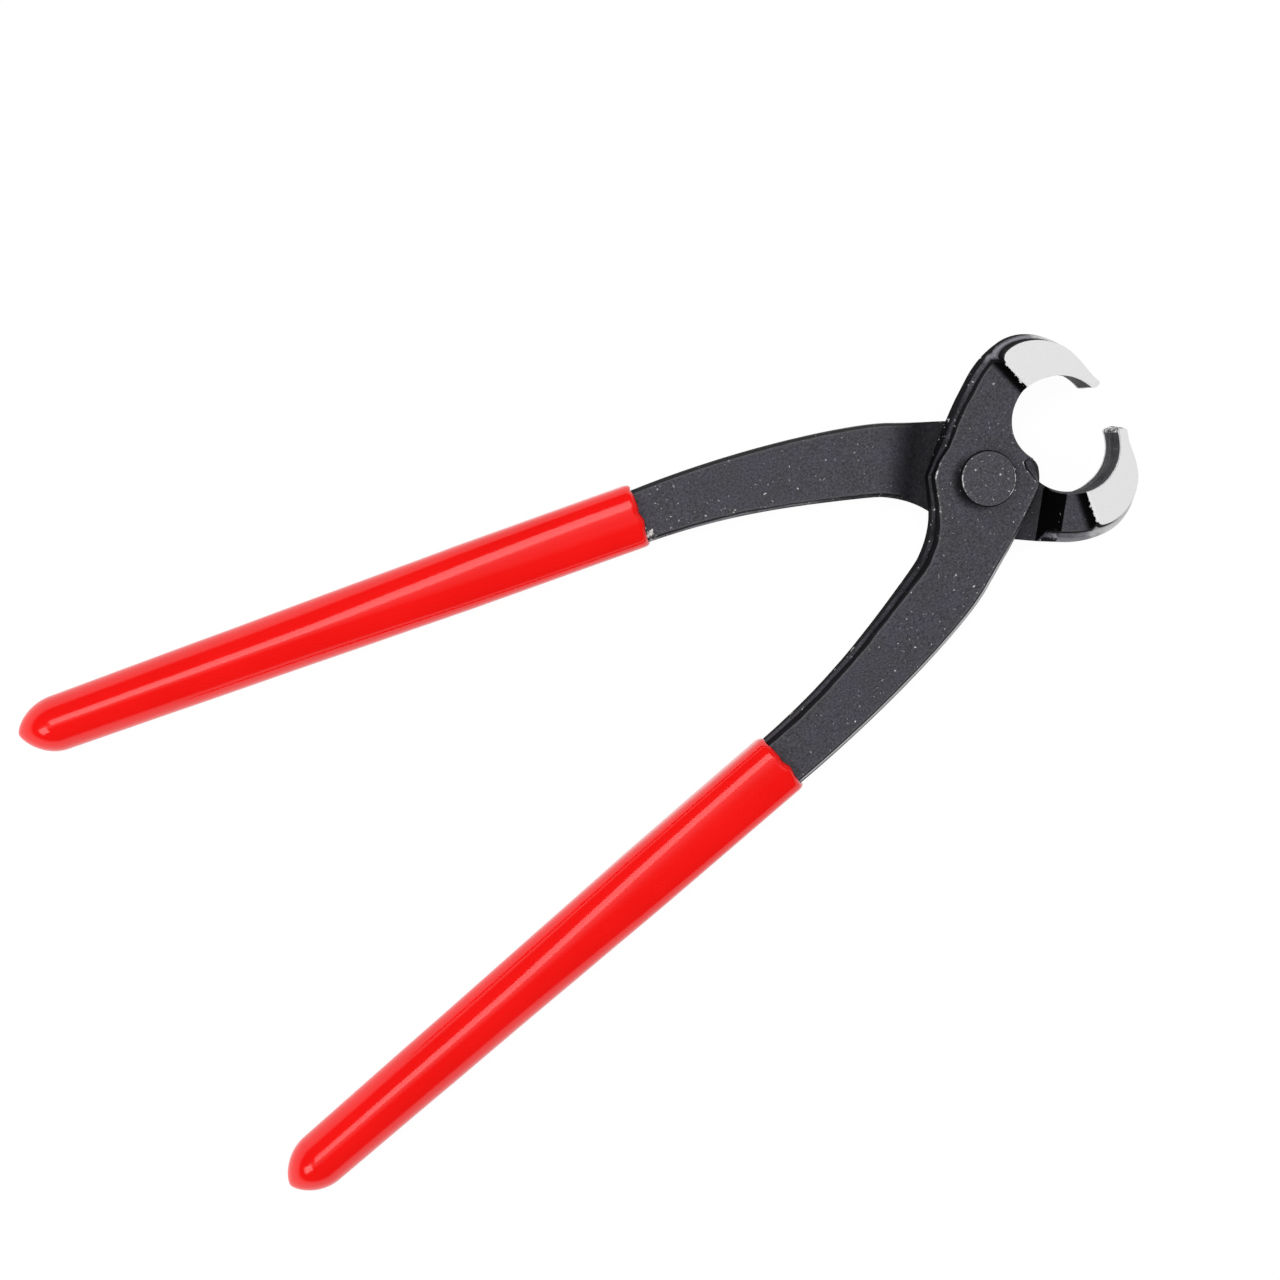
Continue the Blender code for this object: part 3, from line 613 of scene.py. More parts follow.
def lever_grid(forging):
    """Points of the forging, stations by places round the section, and the finish marks on them."""
    bite, back, values, along = stations(jaw_spans(forging) + joint_spans(forging) + handle_spans(forging))
    columns = Section(*(column[:, None] for column in values))
    top = blurred(values.top, along, CREASE_RADIUS)[:, None]
    handle_side = along > along[np.flatnonzero(values.bottom > 0)].mean()
    blur = np.where(handle_side, HANDLE_RAMP_BLUR, CREASE_RADIUS)[:, None]
    bottom = blurred(values.bottom, along, blur)[:, None]
    parting = np.clip(0.0, bottom, top)
    middle, across = ((bite + back) / 2)[:, None], ((bite - back) / abs(bite - back))[:, None]
    half = (abs(bite - back) / 2)[:, None]

    # The pad's inner corner is rounded off in plan, and the trimmed edges wander a little
    edge = along[np.flatnonzero(values.pad == PAD_DEPTH)[-1]]
    into = np.clip((along - edge + forging.pad_corner) / forging.pad_corner, 0.0, 1.0)
    fade = 1 - np.clip((along - edge) / RISER_RUN, 0.0, 1.0)
    corner = (forging.pad_corner * (1 - np.sqrt(1 - into ** 2)) * fade)[:, None]
    short = np.clip(1 - along / TIP_ROUND, 0.0, 1.0)[:, None]
    tip = TIP_ROUND * (1 - np.sqrt(1 - short ** 2))
    chance = np.random.default_rng(forging.seed)
    wobble = [blurred(chance.normal(size=len(along)), along, WOBBLE_LENGTH)[:, None] * EDGE_WOBBLE
              for _ in range(3)]
    loose = np.where(columns.pad > 0, PAD_WOBBLE, 1.0)

    levels = np.concatenate([SIDE_LEVELS[:0:-1], SIDE_LEVELS])[None, :]
    is_top = np.arange(levels.size)[None, :] >= SIDE_LEVELS.size - 1
    under = np.clip(-bottom / UNDER_RISE, 0.0, 1.0)
    heights = np.where(is_top, np.maximum(height_at(levels, top), parting),
                       np.minimum(-height_at(levels, np.maximum(-bottom, 0.0)), parting))
    heights = np.maximum(heights, bottom)
    bite_round = np.where(is_top, columns.bite_round, columns.bite_under * under) + BITE_WOBBLE * wobble[0]
    back_round = np.where(is_top, columns.back_round + loose * wobble[1],
                          (columns.back_under + loose * wobble[2]) * under) + corner
    bevel = columns.bevel * np.clip((levels - BEVEL_FOOT) / (1 - BEVEL_FOOT), 0.0, 1.0) * is_top
    bite_side = half - bite_round * draw_in(levels, LEDGE_FOOT, LEDGE_TOP) - bevel - tip
    back_side = back_round * draw_in(levels, columns.ledge_out, columns.ledge_in) - half + tip
    faces = FACE_SHARES[None, :]
    on_top = mix(bite_side[:, -1:], back_side[:, -1:], faces)
    on_bottom = mix(back_side[:, :1], bite_side[:, :1], faces)
    places = np.concatenate([bite_side, on_top, back_side[:, ::-1], on_bottom], axis=1)
    rise = np.concatenate([heights, top + 0 * faces, heights[:, ::-1], bottom + 0 * faces], axis=1)

    # The tip leans back under the pad, round the middle of the mouth
    lean = forging.tip_lean / MOUTH_RADIUS * (1 - smooth(along / TIP_LEAN_RUN))[:, None]
    turn = np.exp(1j * lean * (HALF_JAW - rise) / (2 * HALF_JAW))
    plane = forging.mouth_centre + (middle + across * places - forging.mouth_centre) * turn

    # Finish marks: walls and steps painted dark, partly the black scale and partly painted shade, the
    # outer band, worn edges, ground pads, and the ground strips
    def marks(on_bite=0, on_top_face=0, on_back=0, on_bottom_face=0):
        side, face = np.zeros((len(along), levels.size)), 0 * on_top
        return np.concatenate([on_bite + side, on_top_face + face, (on_back + side)[:, ::-1],
                               on_bottom_face + face], axis=1)

    band = 1 - past(levels, *BAND_END)
    ledge = band * past(levels, *LEDGE_START)
    # Walls are painted near-black, partly the forging's black scale and partly painted shade; the mouth's
    # walls and the lit ledge get less of it
    walls = 1 - past(levels, *WALL_END)
    wears = np.exp(-((levels - WEAR_PLACE) / WEAR_SPREAD) ** 2) + RIM_WEAR * (levels == 1.0)
    # Painted shade on the faces of steps, ramps and the lap's floor, and along their sides near the face
    dark = np.where(is_top, columns.dark_top, columns.dark_bottom)
    painted_shade_edge = dark * (levels > PAINTED_SHADE_FROM)
    facet = np.clip(columns.bevel * 2, 0.0, 1.0) * is_top * past(levels, *FACET_START)
    # A dark line painted as shade at the top of the throat's bevel
    painted_crease_shade = facet * past(levels, *CREASE_START)
    bite_walls = np.maximum(walls * (1 - MOUTH_LIGHT * columns.mouth) * (1 - facet), painted_crease_shade)
    strip_top = np.where(is_top, forging.strip_top, UNDER_STRIP_TOP)
    strips = (past(levels, CHEEK_STRIP_FOOT * columns.cheek, STRIP_FADE)
              * (1 - past(levels, strip_top, STRIP_FADE)))
    ground = mix(UNGROUND, columns.pad, past(levels, *PAD_START))
    ground_bite = mix(UNGROUND, columns.pad, past(levels, *BITE_PAD_START))
    ground_tip = TIP_GROUND * (short > TIP_GROUND_FROM)
    lit_ledge = ledge * np.clip(LEDGE_LIGHT + columns.cheek, 0.0, LEDGE_MOST)
    outside = 1 - columns.mouth
    rims = RIM_WEAR * FACE_RIMS * outside
    flow = along[:, None]
    finish = {
        "wall": marks(np.maximum(bite_walls, painted_shade_edge), columns.dark_top,
                      np.maximum(walls * (1 - lit_ledge), painted_shade_edge), columns.dark_bottom),
        "wear": marks(wears * (1 - dark) * (1 - facet) * outside, rims * (1 - columns.dark_top),
                      wears * (1 - dark), rims * (1 - columns.dark_bottom)),
        "chip": marks(0.5 * columns.chip, columns.chip, columns.chip, columns.chip),
        "pad": marks(np.maximum(ground_bite, ground_tip), columns.pad, ground, columns.pad),
        "palm_strip": marks(on_bite=strips * columns.palm),
        "cheek": marks(0, columns.cheek, columns.cheek, columns.cheek),
        "band": marks(on_back=band),
        "rim": marks(on_back=1 - past(levels, *RIM_END)),
        # The step mark holds the painted shade of steps, ramps and the lap's floor
        "step": marks(painted_shade_edge, columns.dark_top, painted_shade_edge, columns.dark_bottom),
        "flow": marks(flow, flow, flow, flow),
    }
    return plane, rise, finish


def face_outward(mesh, weld=False):
    work = bmesh.new()
    work.from_mesh(mesh)
    if weld:
        bmesh.ops.remove_doubles(work, verts=work.verts[:], dist=WELD * MM)
        bmesh.ops.dissolve_degenerate(work, edges=work.edges[:], dist=SLIVER * MM)
    bmesh.ops.recalc_face_normals(work, faces=work.faces[:])
    work.to_mesh(mesh)
    work.free()


def skin(name, points, marks=None):
    """A closed mesh through rings of points, drawn together to a point at each end, in metres."""
    def ended(rings):
        middles = rings.mean(axis=1, keepdims=True) + 0 * rings
        return np.concatenate([middles[:1], rings, middles[-1:]])

    points = ended(points)
    count, around = points.shape[:2]
    index = np.arange(count * around).reshape(count, around)
    ahead = np.roll(index, -1, axis=1)
    quads = np.stack([index[:-1], ahead[:-1], ahead[1:], index[1:]], axis=-1).reshape(-1, 4)
    mesh = bpy.data.meshes.new(name)
    mesh.from_pydata(points.reshape(-1, 3) * MM, [], quads.tolist())
    for mark, values in (marks or {}).items():
        mesh.attributes.new(mark, "FLOAT", "POINT").data.foreach_set("value", ended(values).ravel())
    face_outward(mesh, weld=True)
    mesh.shade_smooth()
    return mesh


def add(name, mesh):
    piece = bpy.data.objects.new(name, mesh)
    bpy.context.scene.collection.objects.link(piece)
    return piece


def make_plain(piece):
    """Works a piece's modifiers into a plain mesh."""
    graph = bpy.context.evaluated_depsgraph_get()
    mesh = bpy.data.meshes.new_from_object(piece.evaluated_get(graph), depsgraph=graph)
    piece.modifiers.clear()
    piece.data = mesh


def on_lever(side, plane, heights):
    """Places on the closed lever's plane, turned to where the open tool has them."""
    if side == "front":
        plane, heights = plane * heading(HALF_OPEN), MID_HEIGHT + heights
    else:
        plane, heights = np.conj(plane) * heading(-HALF_OPEN), MID_HEIGHT - heights
    return np.stack([plane.real, plane.imag, heights], axis=-1)


def turned(name, profile, around=96):
    """A round body through (radius, height) points on the rivet's axis."""
    radii, heights = np.array(profile).T
    ring = heading(np.linspace(0.0, 360.0, around, endpoint=False))
    plane = radii[:, None] * ring[None, :]
    rise = MID_HEIGHT + heights[:, None] + 0 * plane.real
    return skin(name, np.stack([plane.real, plane.imag, rise], axis=-1))


def lever(forging):
    plane, heights, finish = lever_grid(forging)
    name = forging.side + "_lever_forging"
    piece = add(name, skin(name, on_lever(forging.side, plane, heights), finish))
    drill = add("rivet_drill", turned("rivet_drill", [(RIVET_HOLE_RADIUS, -DRILL_REACH),
                                                      (RIVET_HOLE_RADIUS, DRILL_REACH)]))
    bore = piece.modifiers.new("rivet hole", "BOOLEAN")
    bore.operation, bore.solver, bore.object = "DIFFERENCE", "EXACT", drill
    make_plain(piece)
    bpy.data.objects.remove(drill)
    return piece


def rivet():
    """A flat head with a rounded rim, the shank through both levers and a peened tail."""
    def rim(radius, end, size, sign):
        turns = np.radians(np.linspace(90.0, 0.0, 9))
        return [(radius - size + size * math.cos(a), sign * (end - size + size * math.sin(a)))
                for a in turns]
    crown = [(radius, RIVET_END - fall) for radius, fall in CROWN_FALLS]
    foot = [(radius, fall - RIVET_END) for radius, fall in FOOT_FALLS]
    return add("pivot_rivet_headed", turned("pivot_rivet_headed", [
        *crown, *rim(RIVET_HEAD_RADIUS, RIVET_END - HEAD_FALL, HEAD_ROUND, 1),
        (RIVET_HEAD_RADIUS, RIVET_SEAT), (RIVET_SHANK_RADIUS, RIVET_SEAT),
        (RIVET_SHANK_RADIUS, -RIVET_SEAT), (RIVET_TAIL_RADIUS, -RIVET_SEAT),
        *rim(RIVET_TAIL_RADIUS, RIVET_END - TAIL_FALL, TAIL_ROUND, -1)[::-1], *foot]))


def sleeve_tree(vinyl):
    """Geometry nodes that dip a sleeve: a grid rolled into bore, lip, straight and drip."""
    tree = bpy.data.node_groups.new("dipped_sleeve", "GeometryNodeTree")
    names = ("Mouth X", "Mouth Y", "Heading", "Length", "Width", "End Width", "Thickness",
             "Taper Start", "Drip", "Drip Lean", "Side Wall", "Face Wall", "Lip", "End Wall",
             "Mouth Squareness", "End Squareness", "Bore Squareness", "Waviness", "Mouth Ripple")
    inputs = {name: tree.interface.new_socket(name, in_out="INPUT", socket_type="NodeSocketFloat")
              for name in names}
    tree.interface.new_socket("Sleeve", in_out="OUTPUT", socket_type="NodeSocketGeometry")
    given = tree.nodes.new("NodeGroupInput")
    size = {name: Wire(tree, given.outputs[name]) for name in names}
    start = Wire(tree)
    grid = start.node("GeometryNodeMeshGrid", sockets={
        "Size X": 1.0, "Size Y": 1.0, "Vertices X": SLEEVE_AROUND, "Vertices Y": SLEEVE_ROWS})
    place = start.node("GeometryNodeInputPosition")
    angle = (place.part("X") + 0.5) * math.tau
    row = place.part("Y") + 0.5

    # Rows share out between the bore's end, the bore, the lip, the straight and the drip
    def stage(low, high):
        return start.node("ShaderNodeMapRange", sockets={"Value": row, "From Min": low, "From Max": high})

    cap, bore, lip, straight, drip = (stage(*ends) for ends in zip(ROW_STOPS, ROW_STOPS[1:]))
    drip_start = size["Length"] - size["Drip"]
    drip_turn = drip * (math.pi / 2)
    drip_share = drip_turn.math("SINE", drip_turn)
    bore_end = size["Length"] - size["End Wall"]
    lip_turn = lip * (math.pi / 2)
    distance = (bore_end - bore_end * bore + size["Lip"] * (1.0 - lip_turn.math("COSINE", lip_turn))
                + (drip_start - size["Lip"]) * straight + size["Drip"] * drip_share)
    inside = 1.0 - lip_turn.math("SINE", lip_turn)
    share = cap * larger(1.0 - drip_share ** 2.0, 0.0) ** DRIP_BLUNTNESS
    taper = start.node("ShaderNodeMapRange", sockets={
        "Value": distance, "From Min": size["Taper Start"], "From Max": size["Length"]})
    width = size["Width"] + (size["End Width"] - size["Width"]) * taper
    square = (size["Mouth Squareness"] + (size["End Squareness"] - size["Mouth Squareness"])
              * distance.step(0.0, size["Length"] * SQUARE_RUN))
    square = square + (size["Bore Squareness"] - square) * inside
    half_width = (width * 0.5 - size["Side Wall"] * inside) * share
    half_thick = (size["Thickness"] * 0.5 - size["Face Wall"] * inside) * share

    # The rounded section by its direction from the middle
    no_size = 1e-7
    cosine, sine = angle.math("COSINE", angle), angle.math("SINE", angle)
    wide = (cosine.math("ABSOLUTE", cosine) / larger(half_width, no_size)) ** square
    thick = (sine.math("ABSOLUTE", sine) / larger(half_thick, no_size)) ** square
    radius = (wide + thick) ** (-1.0 / square)
    ripple = start.node("ShaderNodeTexNoise", {"noise_dimensions": "2D"}, {
        "Vector": start.node("ShaderNodeCombineXYZ", sockets={0: distance, 1: cosine * WAVE_SPREAD}),
        "Scale": WAVE_SCALE, "Detail": 1.0})
    radius = radius * (1.0 + size["Waviness"] * (ripple - 0.5) * (1.0 - inside))
    side = radius * cosine + size["Drip Lean"] * drip_share * drip_share

    # The mouth's rim is a little uneven
    uneven = start.node("ShaderNodeTexNoise", {"noise_dimensions": "2D"}, {
        "Vector": start.node("ShaderNodeCombineXYZ", sockets={0: cosine, 1: sine}),
        "Scale": RIPPLE_SCALE, "Detail": 1.0})
    near_mouth = 1.0 - distance.step(0.0, size["Taper Start"])
    reach = distance + size["Mouth Ripple"] * (uneven - 0.5) * near_mouth
    turn = size["Heading"]
    ahead, over = turn.math("COSINE", turn), turn.math("SINE", turn)
    spot = start.node("ShaderNodeCombineXYZ", sockets={
        0: size["Mouth X"] + ahead * reach - over * side,
        1: size["Mouth Y"] + over * reach + ahead * side,
        2: MID_HEIGHT * MM + radius * sine})

    rolled = start.node("GeometryNodeSetPosition", sockets={"Geometry": grid, "Position": spot})
    closed = start.node("GeometryNodeMergeByDistance", sockets={
        "Geometry": rolled, "Distance": SLEEVE_WELD * MM})
    smoothed = start.node("GeometryNodeSetShadeSmooth", sockets={"Geometry": closed})
    real = start.node("GeometryNodeRealizeInstances", sockets={"Geometry": smoothed})
    dressed = start.node("GeometryNodeSetMaterial", sockets={"Geometry": real, "Material": vinyl})
    result = tree.nodes.new("NodeGroupOutput")
    tree.links.new(dressed.socket, result.inputs[0])
    return tree, {name: item.identifier for name, item in inputs.items()}


def sleeve(side, tree, sockets, lean):
    point, = on_lever(side, np.array([SHANK_END]), np.array([0.0]))
    slope = HANDLE_SLOPE + HALF_OPEN
    name = side + "_grip_dipped"
    piece = add(name, bpy.data.meshes.new(name))
    dip = piece.modifiers.new("dip", "NODES")
    dip.node_group = tree
    lengths = {
        "Mouth X": point[0], "Mouth Y": point[1], "Length": SLEEVE_LENGTH, "Width": SLEEVE_WIDTH,
        "End Width": SLEEVE_END_WIDTH, "Thickness": SLEEVE_THICKNESS,
        "Taper Start": SLEEVE_TAPER_START, "Drip": DRIP_LENGTH, "Drip Lean": lean,
        "Side Wall": SIDE_WALL, "Face Wall": FACE_WALL, "Lip": LIP_LENGTH, "End Wall": END_WALL,
        "Mouth Ripple": MOUTH_RIPPLE}
    shares = {
        "Heading": math.radians(slope if side == "front" else -slope), "Waviness": WAVINESS,
        "Mouth Squareness": MOUTH_SQUARENESS, "End Squareness": END_SQUARENESS,
        "Bore Squareness": BORE_SQUARENESS}
    for values, unit in ((lengths, MM), (shares, 1.0)):
        for key, value in values.items():
            dip[sockets[key]] = float(value) * unit
    bpy.context.view_layer.update()
    make_plain(piece)
    face_outward(piece.data)
    return piece


def new_finish(name, kind="materials"):
    """A material or world with an empty tree, and a wire to start its nodes from."""
    made = getattr(bpy.data, kind).new(name)
    made.use_nodes = True
    made.node_tree.nodes.clear()
    return made, Wire(made.node_tree)


def show(made, surface, kind="ShaderNodeOutputMaterial"):
    out = made.node_tree.nodes.new(kind)
    made.node_tree.links.new(surface.socket, out.inputs["Surface"])


def noise(place, scale, detail=2.0):
    return place.node("ShaderNodeTexNoise", sockets={"Vector": place, "Scale": scale, "Detail": detail})


def specks(place, scale, share, size):
    """Scattered specks on a face: some cells of a cell pattern hold one, of its own size and strength."""
    spot = {"Vector": place, "Scale": scale}
    flat = {"voronoi_dimensions": "2D"}
    distance = place.node("ShaderNodeTexVoronoi", flat, spot, output="Distance")
    chance = place.node("ShaderNodeTexVoronoi", flat, spot, output="Color")
    own_size = size * (0.4 + chance.part("Y"))
    strength = 0.25 + 0.75 * chance.part("Z") * chance.part("Z")
    held = chance.part("X").math("LESS_THAN", chance.part("X"), share)
    return held * strength * (1 - distance.step(own_size * 0.6, own_size))


def jittered(place, scale, reach):
    """Coordinates shaken by noise, so that round specks come out ragged."""
    shake = place.node("ShaderNodeTexNoise", sockets={"Vector": place, "Scale": scale, "Detail": 1.0},
                       output="Color")
    return place.node("ShaderNodeVectorMath", {"operation": "MULTIPLY_ADD"},
                      {0: shake, 1: (reach, reach, reach), 2: place})


def scaled(colour, factor):
    return factor.node("ShaderNodeVectorMath", {"operation": "SCALE"}, {0: colour, "Scale": factor})


def larger(first, second):
    return first.math("MAXIMUM", first, second)


def length(across, over):
    square = across * across + over * over
    return square.math("SQRT", square)


def grained(tone, grain):
    """A colour broken up by the grain of the blacked steel."""
    return scaled(tone, larger(1 + 2.4 * (grain - 0.5), 0.15))


def bumped(height, strength=0.25):
    return height.node("ShaderNodeBump", sockets={
        "Strength": strength, "Distance": BUMP_DEPTH, "Height": height})


def residue(across, over, ragged):
    """Pale crumbs left by the dip beside the sleeve's mouth."""
    away = length(across - RESIDUE_PLACE[0], over - RESIDUE_PLACE[1])
    thinned = 0.12 * away.step(0.0, RESIDUE_REACH) + away.step(RESIDUE_REACH, RESIDUE_REACH + 0.3)
    return (ragged - thinned).step(0.44, 0.5)


def painted_rivet_shadow(across, over):
    """Painted shadow round the rivet's head on the front lever: a dark line at its edge and a soft shade,
    mostly on its handle side.
    """
    radius = length(across, over)
    side = (over * 0.17 - across * 0.98) / radius * 0.5 + 0.5
    near = 1 - radius.step(RIVET_HEAD_RADIUS, RIVET_HEAD_RADIUS + 3.4)
    contact_shadow_seam = 1 - radius.step(RIVET_HEAD_RADIUS + 0.1, RIVET_HEAD_RADIUS + 0.4)
    return larger(contact_shadow_seam, 0.85 * near * side * side)


def black_steel(forging):
    """Oil-blacked forging: grey faces, near-black walls that are partly painted shade, painted shade on
    steps and ramps and a painted shadow round the rivet, chipped edges, ground pads and strips.
    """
    made, start = new_finish("black_steel_" + forging.side)
    place = start.node("ShaderNodeTexCoord", output="Object")

    def mark(attribute):
        return start.node("ShaderNodeAttribute", {"attribute_name": attribute}, output="Fac")

    grain, cloud = noise(place, GRAIN_SCALE), noise(place, CLOUD_SCALE)
    ragged, patch = noise(place, RAGGED_SCALE, 3.0), noise(place, PATCH_SCALE)
    streak = noise(start.node("ShaderNodeCombineXYZ", sockets={
        0: mark("flow") * 0.18, 1: place.part("Z") / MM * 2.4}), 1.0, 3.0)
    shaken = jittered(place, SHAKE_SCALE, SHAKE_REACH)
    cheek = mark("cheek") + 0.12 * (ragged - 0.5)
    crowd = (0.3 + 1.3 * patch.step(0.4, 0.6)) * (1 - mark("step"))
    dust = specks(shaken, DUST_SPECKS, (0.15 + 0.15 * mark("band")) * crowd, 0.085)
    dust = larger(dust, 0.6 * specks(shaken, FINE_SPECKS, 0.06 * crowd, 0.15))
    chips = (mark("wear") * (0.12 + 0.38 * mark("chip")) + 1.2 * (ragged - 0.5)
             + 0.4 * (patch - 0.5)).step(0.44, 0.53)
    crumbs = (noise(place, CRUMB_SCALE, 3.0) + 0.3 * (patch - 0.5)).step(0.68, 0.72) * mark("band")
    strip = mark("palm_strip") * forging.palm_shine * (0.35 + cloud + 0.5 * ragged).step(0.6, 0.95)
    pad = (mark("pad") + 2.0 * (ragged - 0.5)).step(0.4, 0.6)

    # The outer band by its place along the cheek: dark with a rim, then grey, then white
    def from_cheek(middle, fade):
        return cheek.step(middle - fade, middle + fade)

    white = mark("band") * from_cheek(forging.white_from, forging.white_fade) * (1 - pad)
    rim = (mark("rim") + 0.8 * (ragged - 0.5)).step(0.35, 0.65) * (1 - white)
    rim = rim * (1 - from_cheek(forging.rim_to, 0.12))
    grey = mark("band") * from_cheek(forging.grey_from, 0.1) * (1 - white) * (1 - rim)
    chips = larger(chips, crumbs * (1 - white))
    across, over = place.part("X") / MM, place.part("Y") / MM
    if forging is REAR:
        chips = larger(chips, residue(across, over, ragged))
    pits = specks(shaken, PIT_SPECKS, 0.1, 0.16) * cloud.step(0.45, 0.6)
    blacked = grained(cloud.step(0.35, 0.65).mix(*BLACKED_TONES), grain)
    blacked = (mark("wear") * 0.35).mix(blacked, WORN_COLOUR)
    marked = larger(dust, chips).mix(blacked, DUST_COLOUR)
    ground = (pits * 0.5 + 0.25 * grain).mix(*GROUND_TONES)
    colour = (grey * streak.step(0.3, 0.7)).mix(marked, GREY_BAND)
    colour = strip.mix(pad.mix(colour, ground), STRIP_COLOUR)
    colour = white.mix(colour, WHITE_BAND)
    shine = larger(pad, larger(strip, white))
    bump = bumped(0.6 * grain + 0.4 * ragged)
    face = start.node("ShaderNodeBsdfPrincipled", sockets={
        "Base Color": colour, "Roughness": 0.42 + 0.2 * grain, "Metallic": 0.15 * shine, "Normal": bump,
        "Specular IOR Level": 0.3})
    # The black scale on the walls, steps and ramps, partly painted shade, made darker still on the steps
    # as painted shade
    scale = start.node("ShaderNodeBsdfPrincipled", sockets={
        "Base Color": scaled(grain.mix(*SCALE_AND_SHADE_TONES), 1 - 0.85 * mark("step")),
        "Roughness": 0.6 + 0.2 * grain, "Normal": bump, "Specular IOR Level": 0.05})

    # The walls' mask: painted shade on walls, steps, ramps and the lap's floor, and on the front lever the
    # painted shadow round the rivet
    streaked = 1.6 * (streak - 0.5) * mark("wall") * larger(1 - 3 * mark("step"), 0)
    walls = mark("wall") + 0.25 * (ragged - 0.5) + streaked
    # The painted shadow round the rivet's head joins the walls' painted shade on the front lever
    if forging is FRONT:
        walls = larger(walls, painted_rivet_shadow(across, over))
    walls = walls.step(0.15, 0.85) * (1 - larger(shine, larger(dust, chips))) * (1 - 0.85 * grey)
    show(made, start.node("ShaderNodeMixShader", sockets={0: walls, 1: face, 2: scale}))
    return made


def rivet_steel():
    made, start = new_finish("rivet_steel_blacked")
    place = start.node("ShaderNodeTexCoord", output="Object")
    grain, ragged = noise(place, GRAIN_SCALE), noise(place, RAGGED_SCALE, 4.0)
    across, over = place.part("X") / MM, place.part("Y") / MM
    radius = length(across, over)
    height = place.part("Z") / MM
    # The rim's pale worn chips are painted stronger on two opposite sides of the head, partly wear and
    # partly a painted highlight of the rim
    side = (over * 0.5 - across * 0.87) / radius
    rim = radius.step(RIVET_HEAD_RADIUS - 0.32, RIVET_HEAD_RADIUS - 0.18)
    rim = rim * height.step(MID_HEIGHT + RIVET_END - 0.4, MID_HEIGHT + RIVET_END - 0.15)
    chips = (rim * (0.16 + 0.34 * side * side) + 1.1 * (ragged - 0.5)).step(0.42, 0.52)
    shaken = jittered(place, SHAKE_SCALE, SHAKE_REACH)
    dust = specks(shaken, RIVET_SPECKS, 0.6, 0.09)
    dust = larger(dust, 0.7 * specks(shaken, FINE_SPECKS, 0.16, 0.15))
    blacked = (rim * 0.4).mix(grained(RIVET_TONE, grain), RIVET_WORN)
    colour = larger(dust, chips).mix(blacked, RIVET_DUST)
    show(made, start.node("ShaderNodeBsdfPrincipled", sockets={
        "Base Color": colour, "Roughness": 0.4 + 0.2 * grain, "Normal": bumped(grain),
        "Specular IOR Level": 0.3}))
    return made


def red_vinyl():
    """Glossy dipped vinyl with a faint orange-peel skin."""
    made, start = new_finish("red_vinyl_dipped")
    place = start.node("ShaderNodeTexCoord", output="Object")
    peel, cloud = noise(place, PEEL_SCALE), noise(place, TINT_SCALE)
    show(made, start.node("ShaderNodeBsdfPrincipled", sockets={
        "Base Color": cloud.step(0.3, 0.7).mix(*VINYL_TONES), "Roughness": 0.1 + 0.04 * peel,
        "Normal": bumped(peel, 0.06), "Specular IOR Level": 0.5}))
    return made


def lamp(name, place, aim, size, radiance):
    """A soft rectangular lamp that shines from place to aim, its long side along the tool."""
    light = bpy.data.lights.new(name, "AREA")
    light.shape, light.size, light.size_y = "RECTANGLE", *size
    light.energy = radiance * math.pi * size[0] * size[1]
    holder = add(name, light)
    holder.location = place
    holder.rotation_euler = (Vector(place) - Vector(aim)).to_track_quat("Z", "Y").to_euler()


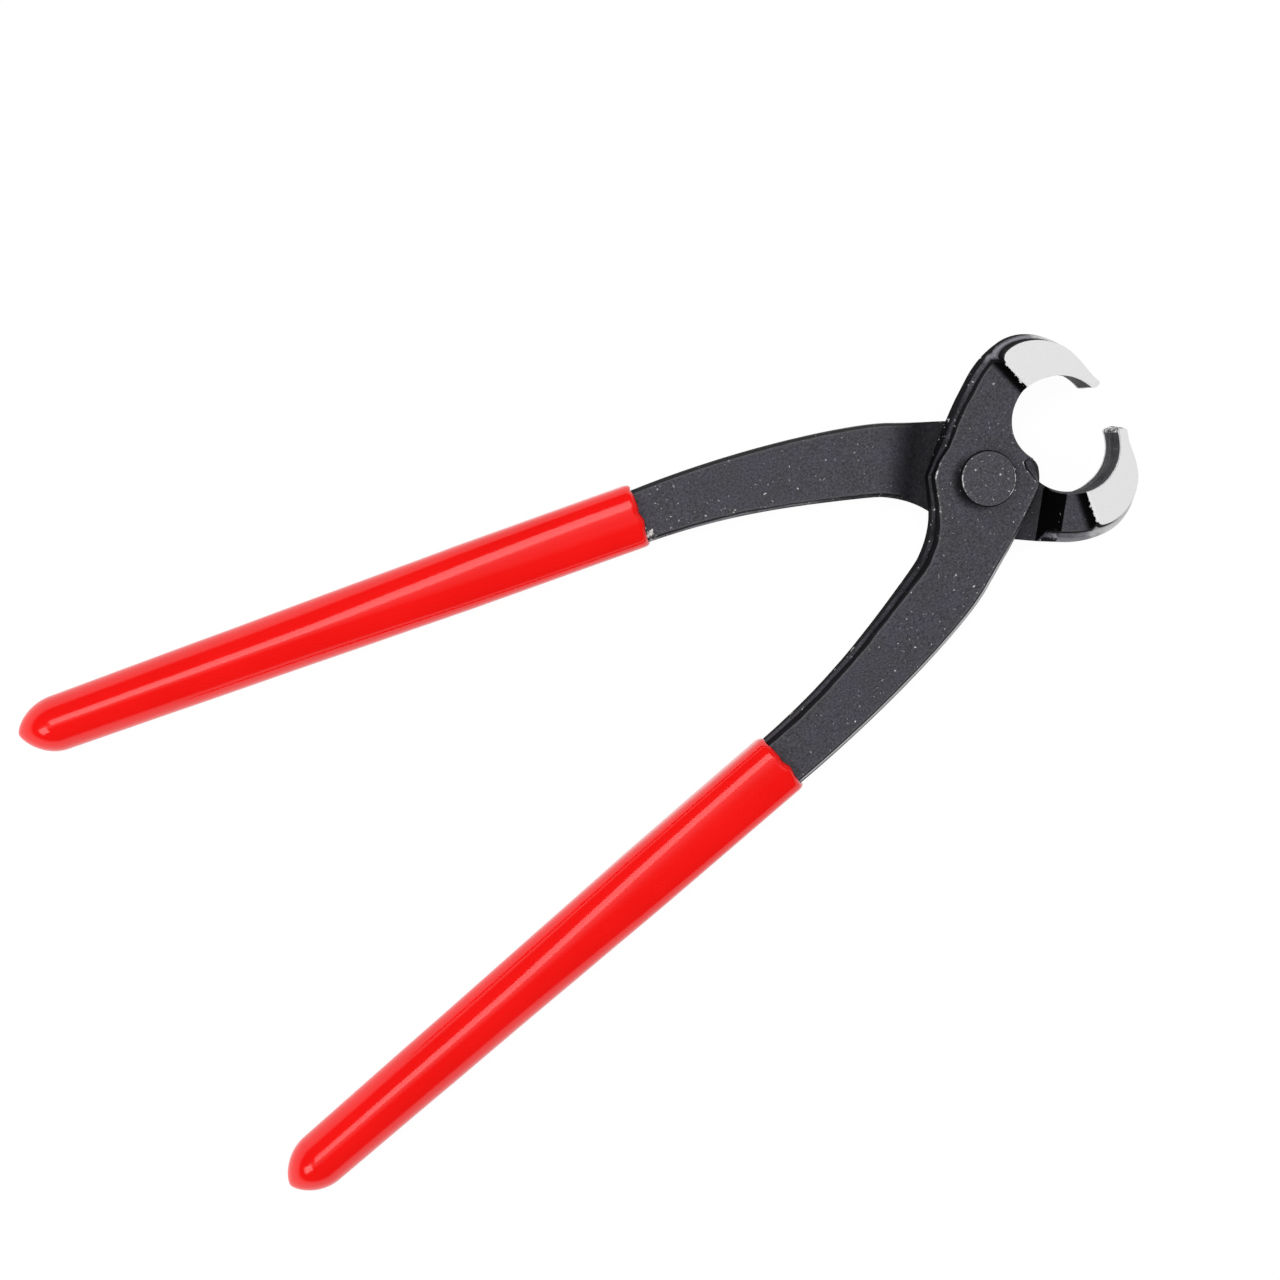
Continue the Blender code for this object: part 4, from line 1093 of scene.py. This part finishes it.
def studio():
    """A white floor and background, and soft light from above that reflections see as a dark ceiling."""
    scene = bpy.context.scene
    scene.view_settings.view_transform = "Standard"
    half = 3.0
    level = -0.0004
    floor_mesh = bpy.data.meshes.new("floor")
    floor_mesh.from_pydata([(-half, -half, level), (half, -half, level), (half, half, level),
                            (-half, half, level)], [], [(0, 1, 2, 3)])
    floor = add("floor", floor_mesh)
    made, start = new_finish("white_floor")

    def seen(wire):
        """Whether the camera sees this directly, and whether in a reflection or through glass."""
        camera_ray, *others = (wire.node("ShaderNodeLightPath", output=ray) for ray in (
            "Is Camera Ray", "Is Glossy Ray", "Is Transmission Ray"))
        return camera_ray, larger(*others)

    direct, mirrored = seen(start)
    paper = start.node("ShaderNodeBsdfDiffuse", sockets={"Color": (0.9, 0.9, 0.9, 1)})
    glow = start.node("ShaderNodeEmission", sockets={"Color": (1, 1, 1, 1), "Strength": 1.03})
    show(made, start.node("ShaderNodeMixShader", sockets={0: 0.93 * direct + mirrored, 1: paper, 2: glow}))
    floor_mesh.materials.append(made)

    scene.world, sky = new_finish("studio", "worlds")
    way = sky.node("ShaderNodeTexCoord", output="Generated")
    up, over = way.part("Z"), way.part("Y")
    direct, mirrored = seen(sky)
    fill, ceiling, scrim = 0.7, 0.05, 0.75
    beside_lamp = over.step(-0.2, 0.12) * (1 - over.step(0.12, 0.45)) * up.step(0.5, 0.7)
    reflected = 1 - (1 - ceiling) * up.step(0.05, 0.3) + scrim * beside_lamp
    glow = sky.node("ShaderNodeBackground", sockets={
        "Color": (1, 1, 1, 1), "Strength": direct + (1 - direct) * (fill + (reflected - fill) * mirrored)})
    show(scene.world, glow, "ShaderNodeOutputWorld")

    lamp("strip_lamp", place=(-0.08, 0.36, 1.05), aim=(-0.08, 0.0, 0.0), size=(0.9, 0.42), radiance=2.6)
    lamp("end_lamp", place=(-1.0, 0.0, 0.8), aim=(-0.15, 0.0, 0.0), size=(0.5, 0.5), radiance=3.0)

    view = bpy.data.cameras.new("camera")
    view.sensor_width = CAMERA_SENSOR
    view.lens = CAMERA_LENS
    camera = add("camera", view)
    camera.location = CAMERA_PLACE
    camera.rotation_euler = [math.radians(a) for a in CAMERA_TURN]
    scene.camera = camera


def dress(piece, node, body, finish=None):
    if finish:
        piece.data.materials.clear()
        piece.data.materials.append(finish)
    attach(piece, body)
    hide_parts(node)


studio()
vinyl = red_vinyl()
dip_tree, dip_sockets = sleeve_tree(vinyl)
dress(lever(FRONT), "front_lever", "front_half", black_steel(FRONT))
dress(lever(REAR), "rear_lever", "rear_half", black_steel(REAR))
dress(rivet(), "pivot_rivet", "front_half", rivet_steel())
dress(sleeve("front", dip_tree, dip_sockets, FRONT_DRIP_LEAN), "front_grip", "front_half")
dress(sleeve("rear", dip_tree, dip_sockets, REAR_DRIP_LEAN), "rear_grip", "rear_half")
